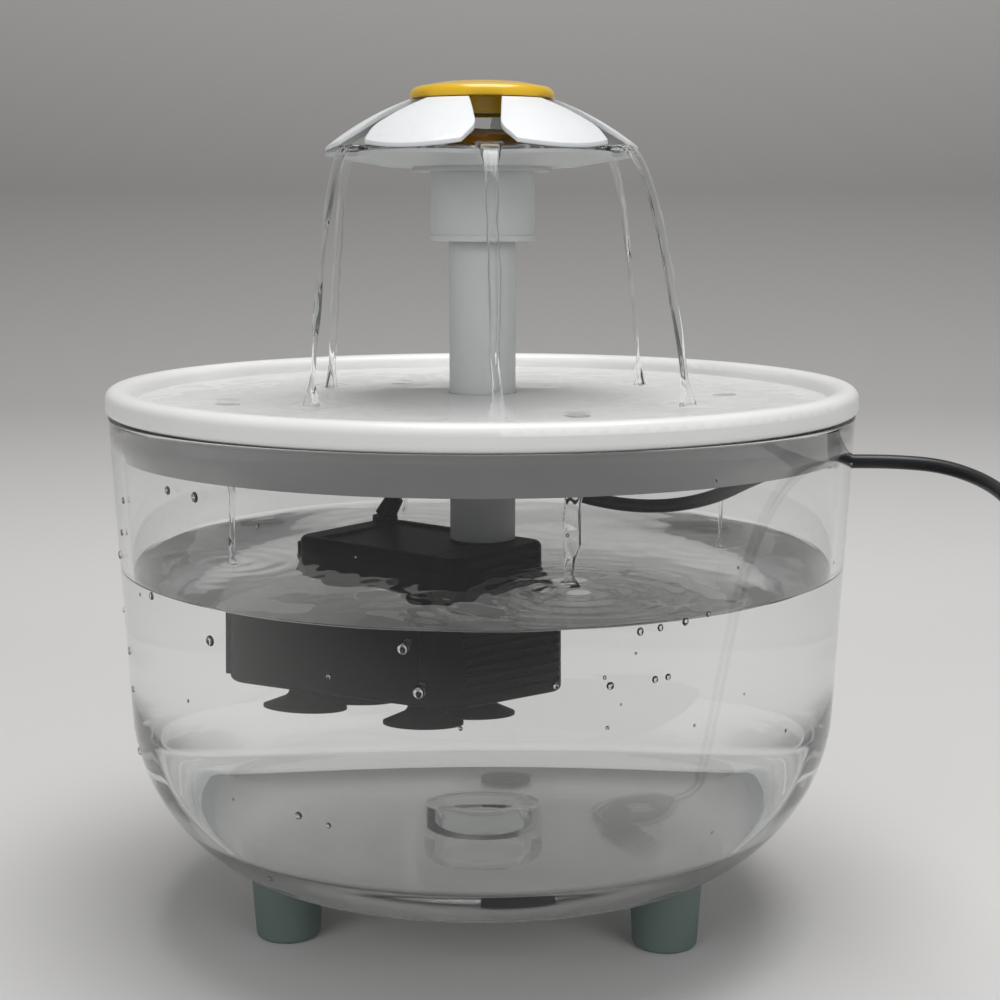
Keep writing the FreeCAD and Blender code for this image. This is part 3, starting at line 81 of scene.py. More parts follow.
def plastic(name, colour, rough=0.35, grain=900.0, bump=0.02, vary=0.04, subsurface=0.0,
            transmission=0.0, coat=0.0, ior=1.5, bevel=0.0):
    """Moulded plastic: a fine grain in the bump, a slow drift in the colour and roughness."""
    mat, tree, bsdf = material(name)
    coord = tree.nodes.new("ShaderNodeTexCoord")
    slow = put(tree, "ShaderNodeTexNoise", Scale=22.0, Detail=3.0, Roughness=0.5)
    tree.links.new(coord.outputs["Object"], slow.inputs["Vector"])
    low = tuple(c * (1 - vary) for c in colour)
    high = tuple(min(c * (1 + vary), 1) for c in colour)
    tint = ramp(tree, slow.outputs["Fac"], [(0.3, low), (0.7, high)])
    tree.links.new(tint.outputs["Color"], bsdf.inputs["Base Color"])
    fine = put(tree, "ShaderNodeTexNoise", Scale=grain, Detail=4.0, Roughness=0.6)
    tree.links.new(coord.outputs["Object"], fine.inputs["Vector"])
    rough_node = tree.nodes.new("ShaderNodeMapRange")
    rough_node.inputs["To Min"].default_value = rough * 0.85
    rough_node.inputs["To Max"].default_value = min(rough * 1.2, 1)
    tree.links.new(fine.outputs["Fac"], rough_node.inputs["Value"])
    tree.links.new(rough_node.outputs["Result"], bsdf.inputs["Roughness"])
    bump_node = put(tree, "ShaderNodeBump", Strength=bump, Distance=0.0005)
    tree.links.new(fine.outputs["Fac"], bump_node.inputs["Height"])
    if bevel:
        bevel_node = tree.nodes.new("ShaderNodeBevel")
        bevel_node.samples = 4
        bevel_node.inputs["Radius"].default_value = bevel
        tree.links.new(bevel_node.outputs["Normal"], bump_node.inputs["Normal"])
    tree.links.new(bump_node.outputs["Normal"], bsdf.inputs["Normal"])
    bsdf.inputs["IOR"].default_value = ior
    bsdf.inputs["Subsurface Weight"].default_value = subsurface
    bsdf.inputs["Subsurface Radius"].default_value = (0.004, 0.004, 0.004)
    bsdf.inputs["Subsurface Scale"].default_value = 1.0
    bsdf.inputs["Transmission Weight"].default_value = transmission
    bsdf.inputs["Coat Weight"].default_value = coat
    return mat


def clear(name, ior, colour, rough=0.0, bump=0.0, scale=60.0):
    """A clear solid, with a faint unevenness in its surface where bump is given."""
    mat, tree, bsdf = material(name)
    coord = tree.nodes.new("ShaderNodeTexCoord")
    slow = put(tree, "ShaderNodeTexNoise", Scale=scale, Detail=2.0, Roughness=0.5)
    tree.links.new(coord.outputs["Object"], slow.inputs["Vector"])
    faint = tuple(c * 0.995 for c in colour)
    tint = ramp(tree, slow.outputs["Fac"], [(0.2, colour), (0.8, faint)])
    tree.links.new(tint.outputs["Color"], bsdf.inputs["Base Color"])
    bsdf.inputs["Transmission Weight"].default_value = 1.0
    bsdf.inputs["Roughness"].default_value = rough
    bsdf.inputs["IOR"].default_value = ior
    if bump:
        node = put(tree, "ShaderNodeBump", Strength=bump, Distance=0.001)
        tree.links.new(slow.outputs["Fac"], node.inputs["Height"])
        tree.links.new(node.outputs["Normal"], bsdf.inputs["Normal"])
    return mat


def metal(name, colour, rough=0.25):
    mat, tree, bsdf = material(name)
    coord = tree.nodes.new("ShaderNodeTexCoord")
    fine = put(tree, "ShaderNodeTexNoise", Scale=700.0, Detail=3.0)
    tree.links.new(coord.outputs["Object"], fine.inputs["Vector"])
    tint = ramp(tree, fine.outputs["Fac"], [(0.3, tuple(c * 0.9 for c in colour)), (0.7, colour)])
    tree.links.new(tint.outputs["Color"], bsdf.inputs["Base Color"])
    bsdf.inputs["Metallic"].default_value = 1.0
    bsdf.inputs["Roughness"].default_value = rough
    return mat


# the pump and its cups are under water, so their index is that of plastic against water
M = {
    "tank": clear("clear_tank", 1.55, (0.985, 0.992, 0.988)),
    "water": clear("water", 1.333, (0.985, 0.995, 0.992)),
    "film": clear("water_film", 1.333, (0.99, 0.995, 0.995)),
    "drop": clear("water_drop", 1.333, (0.99, 0.995, 0.995)),
    "foot": plastic("foot_rubber", (0.11, 0.15, 0.135), 0.55, bump=0.05),
    "white": plastic("white_plastic", (0.80, 0.795, 0.775), 0.32, bump=0.015, subsurface=0.08,
                     bevel=0.0004),
    "petal": plastic("petal_plastic", (0.78, 0.795, 0.80), 0.42, grain=260.0, bump=0.3,
                     subsurface=0.25, coat=0.2, bevel=0.0004),
    "yellow": plastic("flower_yellow", (0.76, 0.46, 0.012), 0.22, subsurface=0.2, coat=0.4,
                      bevel=0.0004),
    "frosted": plastic("frosted_plastic", (0.74, 0.76, 0.75), 0.42, subsurface=0.35,
                       transmission=0.35, ior=1.45, bevel=0.0003),
    "black": plastic("pump_black", (0.006, 0.006, 0.007), 0.42, bump=0.06, ior=1.14, bevel=0.0003),
    "cup": plastic("cup_rubber", (0.006, 0.006, 0.007), 0.5, bump=0.03, ior=1.14),
    "seal": plastic("seal_rubber", (0.40, 0.41, 0.41), 0.6),
    "foam": plastic("intake_foam", (0.02, 0.02, 0.022), 0.95, grain=1400.0, bump=0.6),
    "resin": plastic("motor_resin", (0.02, 0.02, 0.02), 0.4),
    "steel": metal("laminations", (0.42, 0.42, 0.43), 0.4),
    "copper": metal("winding", (0.62, 0.27, 0.12), 0.35),
    "ferrite": plastic("ferrite", (0.05, 0.05, 0.055), 0.45),
    "ceramic": plastic("ceramic", (0.78, 0.78, 0.75), 0.2),
    "cord": plastic("cord_jacket", (0.012, 0.012, 0.013), 0.34, bump=0.03),
    "shell": metal("plug_metal", (0.72, 0.72, 0.73), 0.2),
}


def frost_base(mat):
    """The tank's underside is finely frosted. The rest of it is smooth."""
    tree = mat.node_tree
    coord = tree.nodes.new("ShaderNodeTexCoord")
    split = tree.nodes.new("ShaderNodeSeparateXYZ")
    tree.links.new(coord.outputs["Object"], split.inputs["Vector"])
    span = tree.nodes.new("ShaderNodeMapRange")
    span.inputs["From Min"].default_value = 0.0224
    span.inputs["From Max"].default_value = 0.0250
    span.inputs["To Min"].default_value = 0.45
    span.inputs["To Max"].default_value = 0.0
    tree.links.new(split.outputs["Z"], span.inputs["Value"])
    tree.links.new(span.outputs["Result"], tree.nodes["Principled BSDF"].inputs["Roughness"])


frost_base(M["tank"])
# the thin film lets part of the light through unbent
M["film"].node_tree.nodes["Principled BSDF"].inputs["Alpha"].default_value = 0.3

LOOK = {
    "tank_bowl": "tank", "lid_tray": "white", "hub_seal": "seal", "riser_pipe": "frosted",
    "flower_base": "frosted", "flower_petals": "petal", "flower_core": "yellow",
    "pump_housing": "black", "pump_rear_cover": "black", "motor_potting": "resin",
    "intake_cover": "black", "intake_foam": "foam", "volute_cover": "black",
    "shaft_bush_front": "cup", "shaft_bush_back": "cup", "rotor_magnet": "ferrite",
    "impeller": "black", "rotor_shaft": "ceramic", "stator_core": "steel",
    "stator_coils": "copper", "outlet_ring": "seal", "cord_gland": "cup",
    "cord_inner": "cord", "cord_free": "cord", "cord_coil": "cord", "plug_relief": "cord",
    "plug_grip": "cord", "plug_shell": "shell", "plug_tongue": "ceramic",
}
for name, obj in nodes.items():
    key = LOOK.get(name)
    if key is None:
        key = "foot" if name.startswith("foot") else "cup"
    obj.data.materials.clear()
    obj.data.materials.append(M[key])
    for face in obj.data.polygons:
        face.use_smooth = True
    obj.data.set_sharp_from_angle(angle=radians(32))


# ---------------------------------------------------------------- mesh helpers
def add(name, verts, faces, mat, sharp=25):
    mesh = bpy.data.meshes.new(name)
    mesh.from_pydata([Vector(v) * MM for v in verts], [], faces)
    bm = bmesh.new()
    bm.from_mesh(mesh)
    bmesh.ops.remove_doubles(bm, verts=bm.verts, dist=1e-6)
    bmesh.ops.recalc_face_normals(bm, faces=bm.faces)
    bm.to_mesh(mesh)
    bm.free()
    for face in mesh.polygons:
        face.use_smooth = True
    if sharp:
        mesh.set_sharp_from_angle(angle=radians(sharp))
    obj = bpy.data.objects.new(name, mesh)
    scene.collection.objects.link(obj)
    mesh.materials.append(mat)
    return obj


def lathe(name, profile, mat, segments=192, sharp=25):
    """Turn a profile of (radius, height) in millimetres about the tank's axis."""
    verts, faces = [], []
    count = len(profile)
    for step in range(segments):
        turn = 2 * pi * step / segments
        verts += [(r * cos(turn), r * sin(turn), z) for r, z in profile]
    for step in range(segments):
        after = (step + 1) % segments
        for i in range(count - 1):
            a, b = step * count + i, after * count + i
            faces.append((a, b, b + 1, a + 1))
    return add(name, verts, faces, mat, sharp)


def arc(cx, cz, radius, start, end, steps):
    """Points of an arc, by its centre, radius and turns in degrees."""
    turns = [radians(start + (end - start) * i / steps) for i in range(steps + 1)]
    return [(cx + radius * cos(t), cz + radius * sin(t)) for t in turns]


# ---------------------------------------------------------------- tank and its water
RIM, WALL, SLOPE = 133.0, 3.0, 0.0472
HEEL_X, HEEL_Z, HEEL = 46.248, 58.8, 44.8
BASE, FLOOR, FLOOR_ROUND = 22.3, 33.0, 4.0
RING_OUT, RING_IN, RING_TOP = 11.4, 8.0, 36.6
LEVEL = 94.4
CONTACT = -0.05


def wall_radius(height, inset):
    return 94.6 - inset - SLOPE * (RIM - height)


def inner_profile(heights, gap):
    """The tank's inside from the wall to the axis, moved away from the plastic by a gap."""
    points = [(wall_radius(h, WALL + gap), h) for h in heights]
    radius, floor, small = HEEL - WALL - gap, FLOOR + gap, FLOOR_ROUND - gap
    rise = HEEL_Z - floor - small
    centre = HEEL_X + sqrt((radius - small) ** 2 - rise**2)
    meet = math.degrees(math.atan2(-rise, centre - HEEL_X))
    points += arc(HEEL_X, HEEL_Z, radius, -2.7, meet, 28)
    points += arc(centre, floor + small, small, meet, -90, 10)[1:]
    points += [(r, floor) for r in (60, 45, 30, 18)]
    points += [(RING_OUT + gap, floor), (RING_OUT + gap, RING_TOP - 0.85)]
    points += arc(RING_OUT - 0.85, RING_TOP - 0.85, 0.85 + gap, 15, 90, 4)
    points += arc(RING_IN + 0.85, RING_TOP - 0.85, 0.85 + gap, 90, 165, 4)
    points += [(RING_IN - gap, RING_TOP - 0.85), (RING_IN - gap, floor), (4, floor), (0, floor)]
    return points


def build_tank():
    outer = [(0, BASE)] + [(r, BASE) for r in (20, 40, 55, 66)]
    outer += arc(HEEL_X, HEEL_Z, HEEL, -54.56, -2.7, 34)
    outer += [(wall_radius(h, 0), h) for h in (66, 75, 85, 95, 105, 115, 125, RIM - 0.8)]
    lip = arc(94.6 - 0.8, RIM - 0.8, 0.8, 5, 85, 4) + arc(91.6 + 0.8, RIM - 0.8, 0.8, 95, 175, 4)
    inner = inner_profile((RIM - 0.8, 125, 115, 105, 95, 85, 75, 66), 0)
    glass = lathe("tank_glass", outer + lip + inner, M["tank"], 256)
    side, low, half, steps = -6.494, 117.3, 2.6, 12
    ring = [(side + half * cos(t), low + half + half * sin(t))
            for t in (pi + pi * i / steps for i in range(steps + 1))]
    ring = [(side - half, RIM + 2)] + ring + [(side + half, RIM + 2)]
    count = len(ring)
    verts = [(86, y, z) for y, z in ring] + [(98, y, z) for y, z in ring]
    faces = [tuple(range(count)), tuple(range(2 * count - 1, count - 1, -1))]
    faces += [(i, (i + 1) % count, count + (i + 1) % count, count + i) for i in range(count)]
    cutter = add("notch_cutter", verts, faces, M["tank"], 0)
    cut = glass.modifiers.new("notch", "BOOLEAN")
    cut.operation = "DIFFERENCE"
    cut.solver = "EXACT"
    cut.object = cutter
    bpy.context.view_layer.update()
    graph = bpy.context.evaluated_depsgraph_get()
    shape = bpy.data.meshes.new_from_object(glass.evaluated_get(graph))
    glass.modifiers.clear()
    glass.data = shape
    for face in shape.polygons:
        face.use_smooth = True
    shape.set_sharp_from_angle(angle=radians(25))
    bpy.data.objects.remove(cutter)
    return glass


tank = build_tank()
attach(tank, "tank")
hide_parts("tank_bowl")

# where rings start on the water: x, y and how strongly
FALLS = ((20.6, -38.0, 0.55), (22.5, -52.0, 0.9), (-64.0, -11.3, 0.5), (-22.0, 40.5, 0.35),
         (64.0, 11.3, 0.3))


def swell(x, y):
    """The water surface's height over its level, in millimetres."""
    height = 0.30 * noise.noise(Vector((x / 19, y / 19, 3.1)))
    height += 0.16 * noise.noise(Vector((x / 7, y / 9, 8.4)))
    for fx, fy, strength in FALLS:
        away = hypot(x - fx, y - fy)
        height += strength * 0.55 * cos(away * 2 * pi / 7.0) * exp(-away / 15)
        height -= strength * 0.9 * exp(-((away / 4.0) ** 2))
    return height


def build_water():
    rim = wall_radius(LEVEL, WALL + CONTACT)
    side = inner_profile((90, 82, 74, 66), CONTACT)[:-1]
    segments = 256
    rings = [rim * (i / 130) for i in range(130, 0, -1)]
    verts, faces = [], []
    for r in rings:
        for step in range(segments):
            turn = 2 * pi * step / segments
            x, y = r * cos(turn), r * sin(turn)
            climb = 0.9 * exp(-(rim - r) / 0.9)
            verts.append((x, y, LEVEL + swell(x, y) * min(1, (rim - r) / 4) + climb))
    top = len(rings)
    for r, z in side:
        verts += [(r * cos(2 * pi * k / segments), r * sin(2 * pi * k / segments), z)
                  for k in range(segments)]
    rows = list(range(top - 1, -1, -1)) + list(range(top, top + len(side)))
    for a, b in zip(rows, rows[1:]):
        for k in range(segments):
            n = (k + 1) % segments
            faces.append((a * segments + k, a * segments + n, b * segments + n, b * segments + k))
    for row, z in ((top - 1, LEVEL + swell(0, 0)), (top + len(side) - 1, FLOOR + CONTACT)):
        verts.append((0, 0, z))
        hub = len(verts) - 1
        for k in range(segments):
            faces.append((row * segments + k, row * segments + (k + 1) % segments, hub))
    return add("tank_water", verts, faces, M["water"], 40)


water = build_water()
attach(water, "tank")

# ---------------------------------------------------------------- moving water
# each slot of the flower: its name, its turn in degrees, where its stream lands and its size
STREAMS = (
    ("front", -87.5, 68.5, 1.0), ("right", -27.5, 56.5, 1.0), ("right_back", 32.5, 51.0, 0.85),
    ("back", 92.5, 50.0, 0.8), ("left_back", 152.5, 46.0, 0.85), ("left", 212.5, 49.5, 0.95),
)
DRAINS = (
    ("front", (22.3, -40.2), (20.6, -38.0), 3.5), ("left", (-64.0, -11.3), (-63.6, -11.3), 1.5),
    ("back", (-22.3, 40.2), (-22.0, 40.5), 1.3), ("right", (64.0, 11.3), (64.0, 11.3), 1.1),
)
LIP_RADIUS = 38.6
FLOWER_FLOOR = 195.4
FILM_TOP = 136.1


def sweep(name, rows, mat, sides=20):
    """A body of water through rows of (place, sideways, half width, half thickness)."""
    verts, faces = [], []
    total = len(rows)
    for i, (spot, side, width, thick) in enumerate(rows):
        heading = (rows[min(i + 1, total - 1)][0] - rows[max(i - 1, 0)][0]).normalized()
        side = (side - heading * side.dot(heading)).normalized()
        normal = heading.cross(side)
        for k in range(sides):
            turn = 2 * pi * k / sides
            lift = thick * sin(turn) * (0.55 + 0.8 * cos(turn) ** 2)
            verts.append(spot + side * (width * cos(turn)) + normal * lift)
    for i in range(total - 1):
        for k in range(sides):
            n = (k + 1) % sides
            faces.append((i * sides + k, i * sides + n, (i + 1) * sides + n, (i + 1) * sides + k))
    faces.append(tuple(range(sides))[::-1])
    faces.append(tuple((total - 1) * sides + k for k in range(sides)))
    return add(name, verts, faces, mat, 60)


def tray_height(r):
    """Height of the tray's upper face at a radius."""
    if r < 13:
        return 136.6
    if r < 58:
        return 136.6 - 2.1 * (r - 13) / 45
    return 134.5 + 1.1 * (r - 58) / 30.8


def film_height(x, y):
    """The thin water on the tray, with ripples round each place where a stream lands."""
    height = FILM_TOP + 0.32 * noise.noise(Vector((x / 9, y / 9, 5.7)))
    height += 0.18 * noise.noise(Vector((x / 3.6, y / 4.4, 1.2)))
    for _, turn, land, size in STREAMS:
        away = hypot(x - land * cos(radians(turn)), y - land * sin(radians(turn)))
        height += size * 0.6 * cos(away * 2 * pi / 5.2) * exp(-away / 8.5)
        height += size * 0.55 * exp(-((away - 3.4) / 1.3) ** 2)
    return max(height, tray_height(hypot(x, y)) + 0.25)


def build_film():
    segments = 256
    inner, outer, count = 8.7, 88.9, 96
    radii = [inner + (outer - inner) * i / count for i in range(count + 1)]
    turns = [(cos(2 * pi * k / segments), sin(2 * pi * k / segments)) for k in range(segments)]
    verts = []
    for r in radii:
        verts += [(r * c, r * s, film_height(r * c, r * s)) for c, s in turns]
    for r in (outer, 73.0, 58.0, 35.0, 13.0, inner):
        verts += [(r * c, r * s, tray_height(r) - 1.0) for c, s in turns]
    rows = list(range(count + 7)) + [0]
    faces = []
    for a, b in zip(rows, rows[1:]):
        for k in range(segments):
            n = (k + 1) % segments
            faces.append((a * segments + k, a * segments + n, b * segments + n, b * segments + k))
    return add("tray_water", verts, faces, M["film"], 50)


def build_stream(name, turn, land, size):
    out = Vector((cos(radians(turn)), sin(radians(turn)), 0))
    side = Vector((-out.y, out.x, 0))
    up = Vector((0, 0, 1))
    rows = []
    for i in range(6):
        r = 33.5 + (LIP_RADIUS - 33.5) * i / 5
        floor = FLOWER_FLOOR + max(0, r - 24) * 0.11
        width = 2.4 + 0.9 * (r - 33.5) / 5.1
        lift = 1.0 + 0.25 * noise.noise(Vector((r / 3, turn, 2.2)))
        rows.append((out * r + up * (floor + lift), side, width * size, 0.95))
    start = rows[-1][0].z
    drop = start - (FILM_TOP - 0.3)
    for i in range(1, 57):
        s = i / 56
        z = start - drop * s**2
        r = LIP_RADIUS + (land - LIP_RADIUS) * s
        sway = 0.5 * s * noise.noise(Vector((z / 8, turn, 4.4)))
        twist = 1.3 * s * noise.noise(Vector((z / 17, turn, 9.1))) + 0.5 * s
        width = size * (1.2 + 2.2 * exp(-4.2 * s))
        width *= 1 + 0.22 * noise.noise(Vector((z / 5, turn, 7.7)))
        thick = size * (0.95 - 0.1 * s)
        if i > 53:
            width += (i - 53) * 0.35
            thick += (i - 53) * 0.35
        facing = side * cos(twist) + (out * 0.9 + up * 0.3) * sin(twist)
        rows.append((out * r + side * sway + up * z, facing, width, thick))
    obj = sweep(f"stream_{name}", rows, M["water"])
    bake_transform(obj)
    return obj


def build_drip(name, top, low, size):
    rows = []
    upper, lower = 134.6, LEVEL - 0.5
    for i in range(49):
        s = i / 48
        z = upper + (lower - upper) * s
        knot = 1 + 0.38 * noise.noise(Vector((z / 4.2, size, 3.3)))
        width = size * (1.0 - 0.5 * s**0.8) * knot
        if s > 0.93:
            width += size * 5.0 * (s - 0.93)
        thick = width * (0.65 + 0.2 * s)
        twist = 5.2 * s + 1.1 * noise.noise(Vector((z / 9, size, 6.1)))
        x = top[0] + (low[0] - top[0]) * s + 0.7 * s * noise.noise(Vector((z / 7, size, 0.4)))
        y = top[1] + (low[1] - top[1]) * s
        rows.append((Vector((x, y, z)), Vector((cos(twist), sin(twist), 0)), width, thick))
    obj = sweep(f"drip_{name}", rows, M["water"])
    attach(obj, "lid")
    return obj


# droplets on the tank's outside: turn in degrees, height and radius
DROPS = [
    (-131.2, 87.9, 1.2), (-100.5, 91.4, 1.3), (-98.5, 81.9, 1.35), (-80.4, 83.1, 0.7),
    (-72.8, 82.3, 0.9), (-66.2, 82.7, 0.75), (-64.2, 82.9, 0.7), (-138.8, 120.7, 0.9),
    (-132.5, 120.3, 1.0), (-155.9, 114.6, 0.7), (-161.6, 75.5, 0.9), (-163.1, 49.0, 0.9),
    (-128.0, 29.6, 0.8), (-116.8, 51.0, 0.9), (-112.1, 49.7, 0.6), (-68.7, 93.8, 0.8),
    (-65.7, 94.2, 0.7), (-61.8, 94.9, 0.8), (-58.0, 95.8, 0.6), (-146.1, 94.3, 0.9),
    (-159.0, 106.0, 0.8), (-164.0, 99.0, 0.9), (-161.0, 66.0, 0.8), (-167.0, 84.0, 0.7),
    (-111.0, 84.0, 0.6), (-93.0, 74.0, 0.5),
]


SMALL_DROPS = 34
DROP_RISE = 0.62
DROP_SEAT = 0.12


def outer_radius(height):
    if height > 58:
        return wall_radius(height, 0)
    return HEEL_X + sqrt(HEEL**2 - (HEEL_Z - height) ** 2)


def build_drops():
    """Small round caps of water that sit on the tank's outside."""
    drops = list(DROPS)
    for _ in range(SMALL_DROPS):
        turn, height = random.uniform(-200, 20), random.uniform(38, 126)
        drops.append((turn, height, random.uniform(0.22, 0.45)))
    verts, faces = [], []
    around, rise = 14, 6
    for turn, height, size in drops:
        out = Vector((cos(radians(turn)), sin(radians(turn)), 0))
        middle = outer_radius(height)
        lean = outer_radius(height + 0.5) - outer_radius(height - 0.5)
        normal = (out - Vector((0, 0, lean))).normalized()
        side = Vector((-out.y, out.x, 0))
        up = normal.cross(side).normalized()
        spot = out * middle + Vector((0, 0, height)) - normal * DROP_SEAT
        tall = random.uniform(1.0, 1.25)
        first = len(verts)
        for j in range(rise):
            tip = (pi / 2) * j / rise
            for k in range(around):
                a = 2 * pi * k / around
                flat = size * cos(tip)
                verts.append(spot + side * (flat * cos(a)) + up * (flat * tall * sin(a))
                             + normal * (size * DROP_RISE * sin(tip) + DROP_SEAT * min(j, 1)))
        for j in range(rise - 1):
            for k in range(around):
                n = (k + 1) % around
                a, b = first + j * around, first + (j + 1) * around
                faces.append((a + k, a + n, b + n, b + k))
        verts.append(spot + normal * (size * DROP_RISE + DROP_SEAT))
        for k in range(around):
            last = first + (rise - 1) * around
            faces.append((last + k, last + (k + 1) % around, len(verts) - 1))
        faces.append(tuple(first + k for k in range(around))[::-1])
    obj = add("drops_on_tank", verts, faces, M["drop"], 0)
    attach(obj, "tank")
    return obj


def build_flower_water():
    """The water that stands in the flower, seen through its slots."""
    top = [(12.6, 202.6), (16, 202.4), (19, 202.0), (22, 201.2), (25, 200.3), (28, 199.4),
           (31, 198.6), (33, 198.1), (34.5, 197.6), (35.4, 197.0)]
    segments, verts, faces = 144, [], []
    low = [(35.4, 196.72), (30, 196.11), (24, FLOWER_FLOOR + 0.05), (12.6, FLOWER_FLOOR + 0.05)]
    for step in range(segments):
        turn = 2 * pi * step / segments
        for r, z in top:
            bump = 0.35 * noise.noise(Vector((r * cos(turn) / 3, r * sin(turn) / 3, 2.9)))
            verts.append((r * cos(turn), r * sin(turn), z + bump * min(1, (35.4 - r) / 3)))
        verts += [(r * cos(turn), r * sin(turn), z) for r, z in low]
    count = len(top) + len(low)
    for step in range(segments):
        after = (step + 1) % segments
        for i in range(count):
            n = (i + 1) % count
            a, b = step * count, after * count
            faces.append((a + i, b + i, b + n, a + n))
    obj = add("flower_water", verts, faces, M["drop"], 40)
    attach(obj, "flower")


build_flower_water()
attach(build_film(), "lid")
for entry in STREAMS:
    build_stream(*entry)
for entry in DRAINS:
    build_drip(*entry)
build_drops()

# ---------------------------------------------------------------- cord
INNER = [
    (-24.17, 26.94, 105.14), (-19.58, 25.71, 113.37), (-10.28, 23.71, 118.57),
    (0.92, 22.71, 118.67), (15.5, 20.0, 109.6), (38.0, 11.5, 104.6), (58.0, 3.6, 107.0),
    (73.5, -2.6, 116.2), (85.0, -5.9, 119.3), (95.5, -6.68, 119.4),
]
FREE = [
    (105.54, -7.42, 119.4), (116.1, -13.0, 119.2), (123.7, -23.5, 117.2), (126.6, -37.2, 114.5),
    (128.0, -52.0, 109.0), (129.0, -66.0, 98.5), (129.6, -77.5, 82.5), (129.9, -86.0, 61.0),
    (130.0, -93.2, 41.0), (128.82, -99.5, 24.05), (129.12, -103.5, 14.85),
    (129.32, -109.8, 7.45), (129.32, -118.4, 2.65), (129.32, -128.4, 1.85),
]
COIL_CENTRE = (100.0, -132.0)
COIL_TURNS, COIL_PITCH, COIL_MEAN = 4, 4.2, 20.3
CORD_RADIUS = 1.8


def coil_point(turns):
    """A point of the put-away coil: in on the floor, up half a turn, and out again on top."""
    middle = COIL_TURNS + 0.25
    inner = COIL_MEAN - COIL_PITCH * middle / 2
    low = CORD_RADIUS + 0.05
    away = turns - middle
    if away < -0.25:
        radius, height = inner - COIL_PITCH * away, low
    elif away <= 0.25:
        rise = (1 - cos(pi * (away + 0.25) / 0.5)) / 2
        radius, height = inner + COIL_PITCH * (2 * away**2 + 0.125), low + COIL_PITCH * rise
    else:
        ease = (1 - cos(pi * max((away - middle + 0.5) / 0.5, 0.0))) / 2
        radius = inner + COIL_PITCH * away + 4.6 * ease
        height = low + COIL_PITCH - (low + COIL_PITCH - 3.85) * ease**2
    turn = -2 * pi * turns
    radius *= 1.025
    return (COIL_CENTRE[0] + radius * cos(turn), COIL_CENTRE[1] + radius * sin(turn), height)


COIL = [coil_point(i / 12) for i in range(1, 103)] + [(66.1, -128.4, 3.85)]


def spline_path(name, points):
    """The points of a smooth line with these as its control points, in metres."""
    curve = bpy.data.curves.new(name, "CURVE")
    curve.dimensions = "3D"
    spline = curve.splines.new("NURBS")
    spline.points.add(len(points) - 1)
    for point, spot in zip(spline.points, points):
        point.co = (*(Vector(spot) * MM), 1)
    spline.order_u = 3
    spline.use_endpoint_u = True
    curve.resolution_u = 8
    obj = bpy.data.objects.new(name, curve)
    scene.collection.objects.link(obj)
    bpy.context.view_layer.update()
    mesh = bpy.data.meshes.new_from_object(obj)
    path = [v.co.copy() for v in mesh.vertices]
    bpy.data.meshes.remove(mesh)
    bpy.data.objects.remove(obj)
    bpy.data.curves.remove(curve)
    return path


def tube(name, path, radius, mat, sides=20, cap=True):
    """A round tube along a path in metres. The radius, in millimetres, may be a function."""
    verts, faces = [], []
    across = None
    total = len(path)
    for i, spot in enumerate(path):
        heading = (path[min(i + 1, total - 1)] - path[max(i - 1, 0)]).normalized()
        if across is None:
            across = heading.orthogonal().normalized()
        across = (across - heading * across.dot(heading)).normalized()
        other = heading.cross(across)
        size = radius(i / (total - 1)) if callable(radius) else radius
        for k in range(sides):
            turn = 2 * pi * k / sides
            verts.append(spot / MM + (across * cos(turn) + other * sin(turn)) * size)
    for i in range(total - 1):
        for k in range(sides):
            n = (k + 1) % sides
            faces.append((i * sides + k, i * sides + n, (i + 1) * sides + n, (i + 1) * sides + k))
    if cap:
        faces.append(tuple(range(sides))[::-1])
        faces.append(tuple((total - 1) * sides + k for k in range(sides)))
    return add(name, verts, faces, mat, 40)


cord_path = spline_path("cord_line", INNER + FREE + COIL)
cord = tube("cord", cord_path, CORD_RADIUS, M["cord"])
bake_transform(cord)
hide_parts("cord_inner", "cord_free", "cord_coil")
cord_length = sum((b - a).length for a, b in zip(cord_path, cord_path[1:]))
print("cord length", round(cord_length, 4))


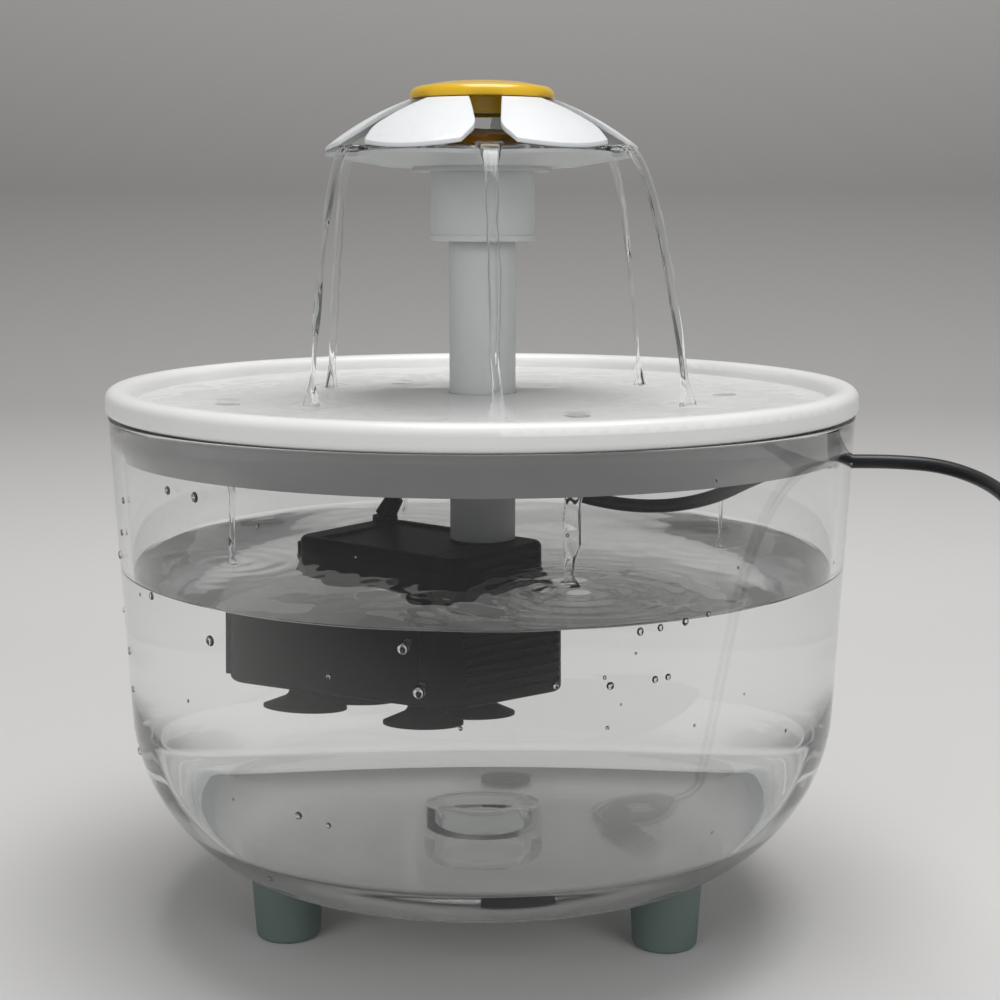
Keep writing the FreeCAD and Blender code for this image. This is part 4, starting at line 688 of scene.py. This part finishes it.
# ---------------------------------------------------------------- stage, light and camera
def build_stage():
    """A pale floor that curves up into a backdrop; painted shade darkens its colour up the curve.
    """
    mat, tree, bsdf = material("stage")
    coord = tree.nodes.new("ShaderNodeTexCoord")
    split = tree.nodes.new("ShaderNodeSeparateXYZ")
    tree.links.new(coord.outputs["Object"], split.inputs["Vector"])
    # painted shade: the colour darkens from the pale floor up the stage's curve, darkest about 0.2
    # m up, and lightens a little again higher on the backdrop
    span = tree.nodes.new("ShaderNodeMapRange")
    span.inputs["From Min"].default_value = 0.0
    span.inputs["From Max"].default_value = 0.9
    tree.links.new(split.outputs["Z"], span.inputs["Value"])
    tint = ramp(tree, span.outputs["Result"],
                [(0.0, (0.70, 0.69, 0.67)), (0.08, (0.37, 0.362, 0.35)),
                 (0.22, (0.21, 0.204, 0.196)), (0.4, (0.33, 0.32, 0.305))])
    # painted shade: the floor's colour darkens behind the camera, which keeps its reflection in
    # the tank weak
    front = tree.nodes.new("ShaderNodeMapRange")
    front.inputs["From Min"].default_value = -0.34
    front.inputs["From Max"].default_value = -0.12
    front.inputs["To Min"].default_value = 0.25
    front.inputs["To Max"].default_value = 1.0
    tree.links.new(split.outputs["Y"], front.inputs["Value"])
    shade = tree.nodes.new("ShaderNodeVectorMath")
    shade.operation = "SCALE"
    tree.links.new(tint.outputs["Color"], shade.inputs["Vector"])
    tree.links.new(front.outputs["Result"], shade.inputs["Scale"])
    tree.links.new(shade.outputs["Vector"], bsdf.inputs["Base Color"])
    bsdf.inputs["Roughness"].default_value = 0.75
    profile = [(-3.0, 0.0), (0.3, 0.0)]
    for t in range(6, 91, 6):
        profile.append((0.3 + 0.5 * sin(radians(t)), 0.5 - 0.5 * cos(radians(t))))
    profile += [(0.8, 3.0)]
    verts, faces = [], []
    for x in (-4.0, 4.0):
        verts += [(x / MM, y / MM, z / MM) for y, z in profile]
    count = len(profile)
    faces = [(i, i + 1, count + i + 1, count + i) for i in range(count - 1)]
    stage = add("stage", verts, faces, mat, 0)


def area(name, spot, target, size, power, colour=(1, 1, 1), size_y=None):
    light = bpy.data.lights.new(name, "AREA")
    light.energy = power
    light.size = size
    light.color = colour
    if size_y:
        light.shape = "RECTANGLE"
        light.size_y = size_y
    obj = bpy.data.objects.new(name, light)
    scene.collection.objects.link(obj)
    obj.location = spot
    obj.rotation_euler = (Vector(target) - Vector(spot)).to_track_quat("-Z", "Y").to_euler()
    return obj


build_stage()
area("key", (0.12, 0.0, 1.25), (0, 0, 0.12), 0.8, 10.5)
# the fills light the object and don't show in or through the glass
for name, side, power in (("fill_left", -1, 5.2), ("fill_right", 1, 5.2)):
    fill = area(name, (side * 0.9, -1.1, 0.5), (0, 0, 0.12), 0.8, power)
    fill.visible_glossy = False
    fill.visible_transmission = False
world = bpy.data.worlds.new("world")
scene.world = world
world.use_nodes = True
world.node_tree.nodes["Background"].inputs["Color"].default_value = (0.93, 0.95, 1.0, 1)
world.node_tree.nodes["Background"].inputs["Strength"].default_value = 0.37

FOCAL, TILT, BACK, UP, AXIS = 1775.4, 9.18, 0.4566, 0.1822, 482.5
camera_data = bpy.data.cameras.new("camera")
camera_data.sensor_width = 36
camera_data.lens = FOCAL / 1000 * 36
camera_data.clip_start = 0.01
camera = bpy.data.objects.new("camera", camera_data)
scene.collection.objects.link(camera)
camera.location = (0, -BACK, UP)
camera.rotation_euler = (pi / 2 - radians(TILT), 0, -atan((500 - AXIS) / FOCAL))
scene.camera = camera
scene.view_settings.view_transform = "Standard"
scene.cycles.max_bounces = 24
scene.cycles.transmission_bounces = 20
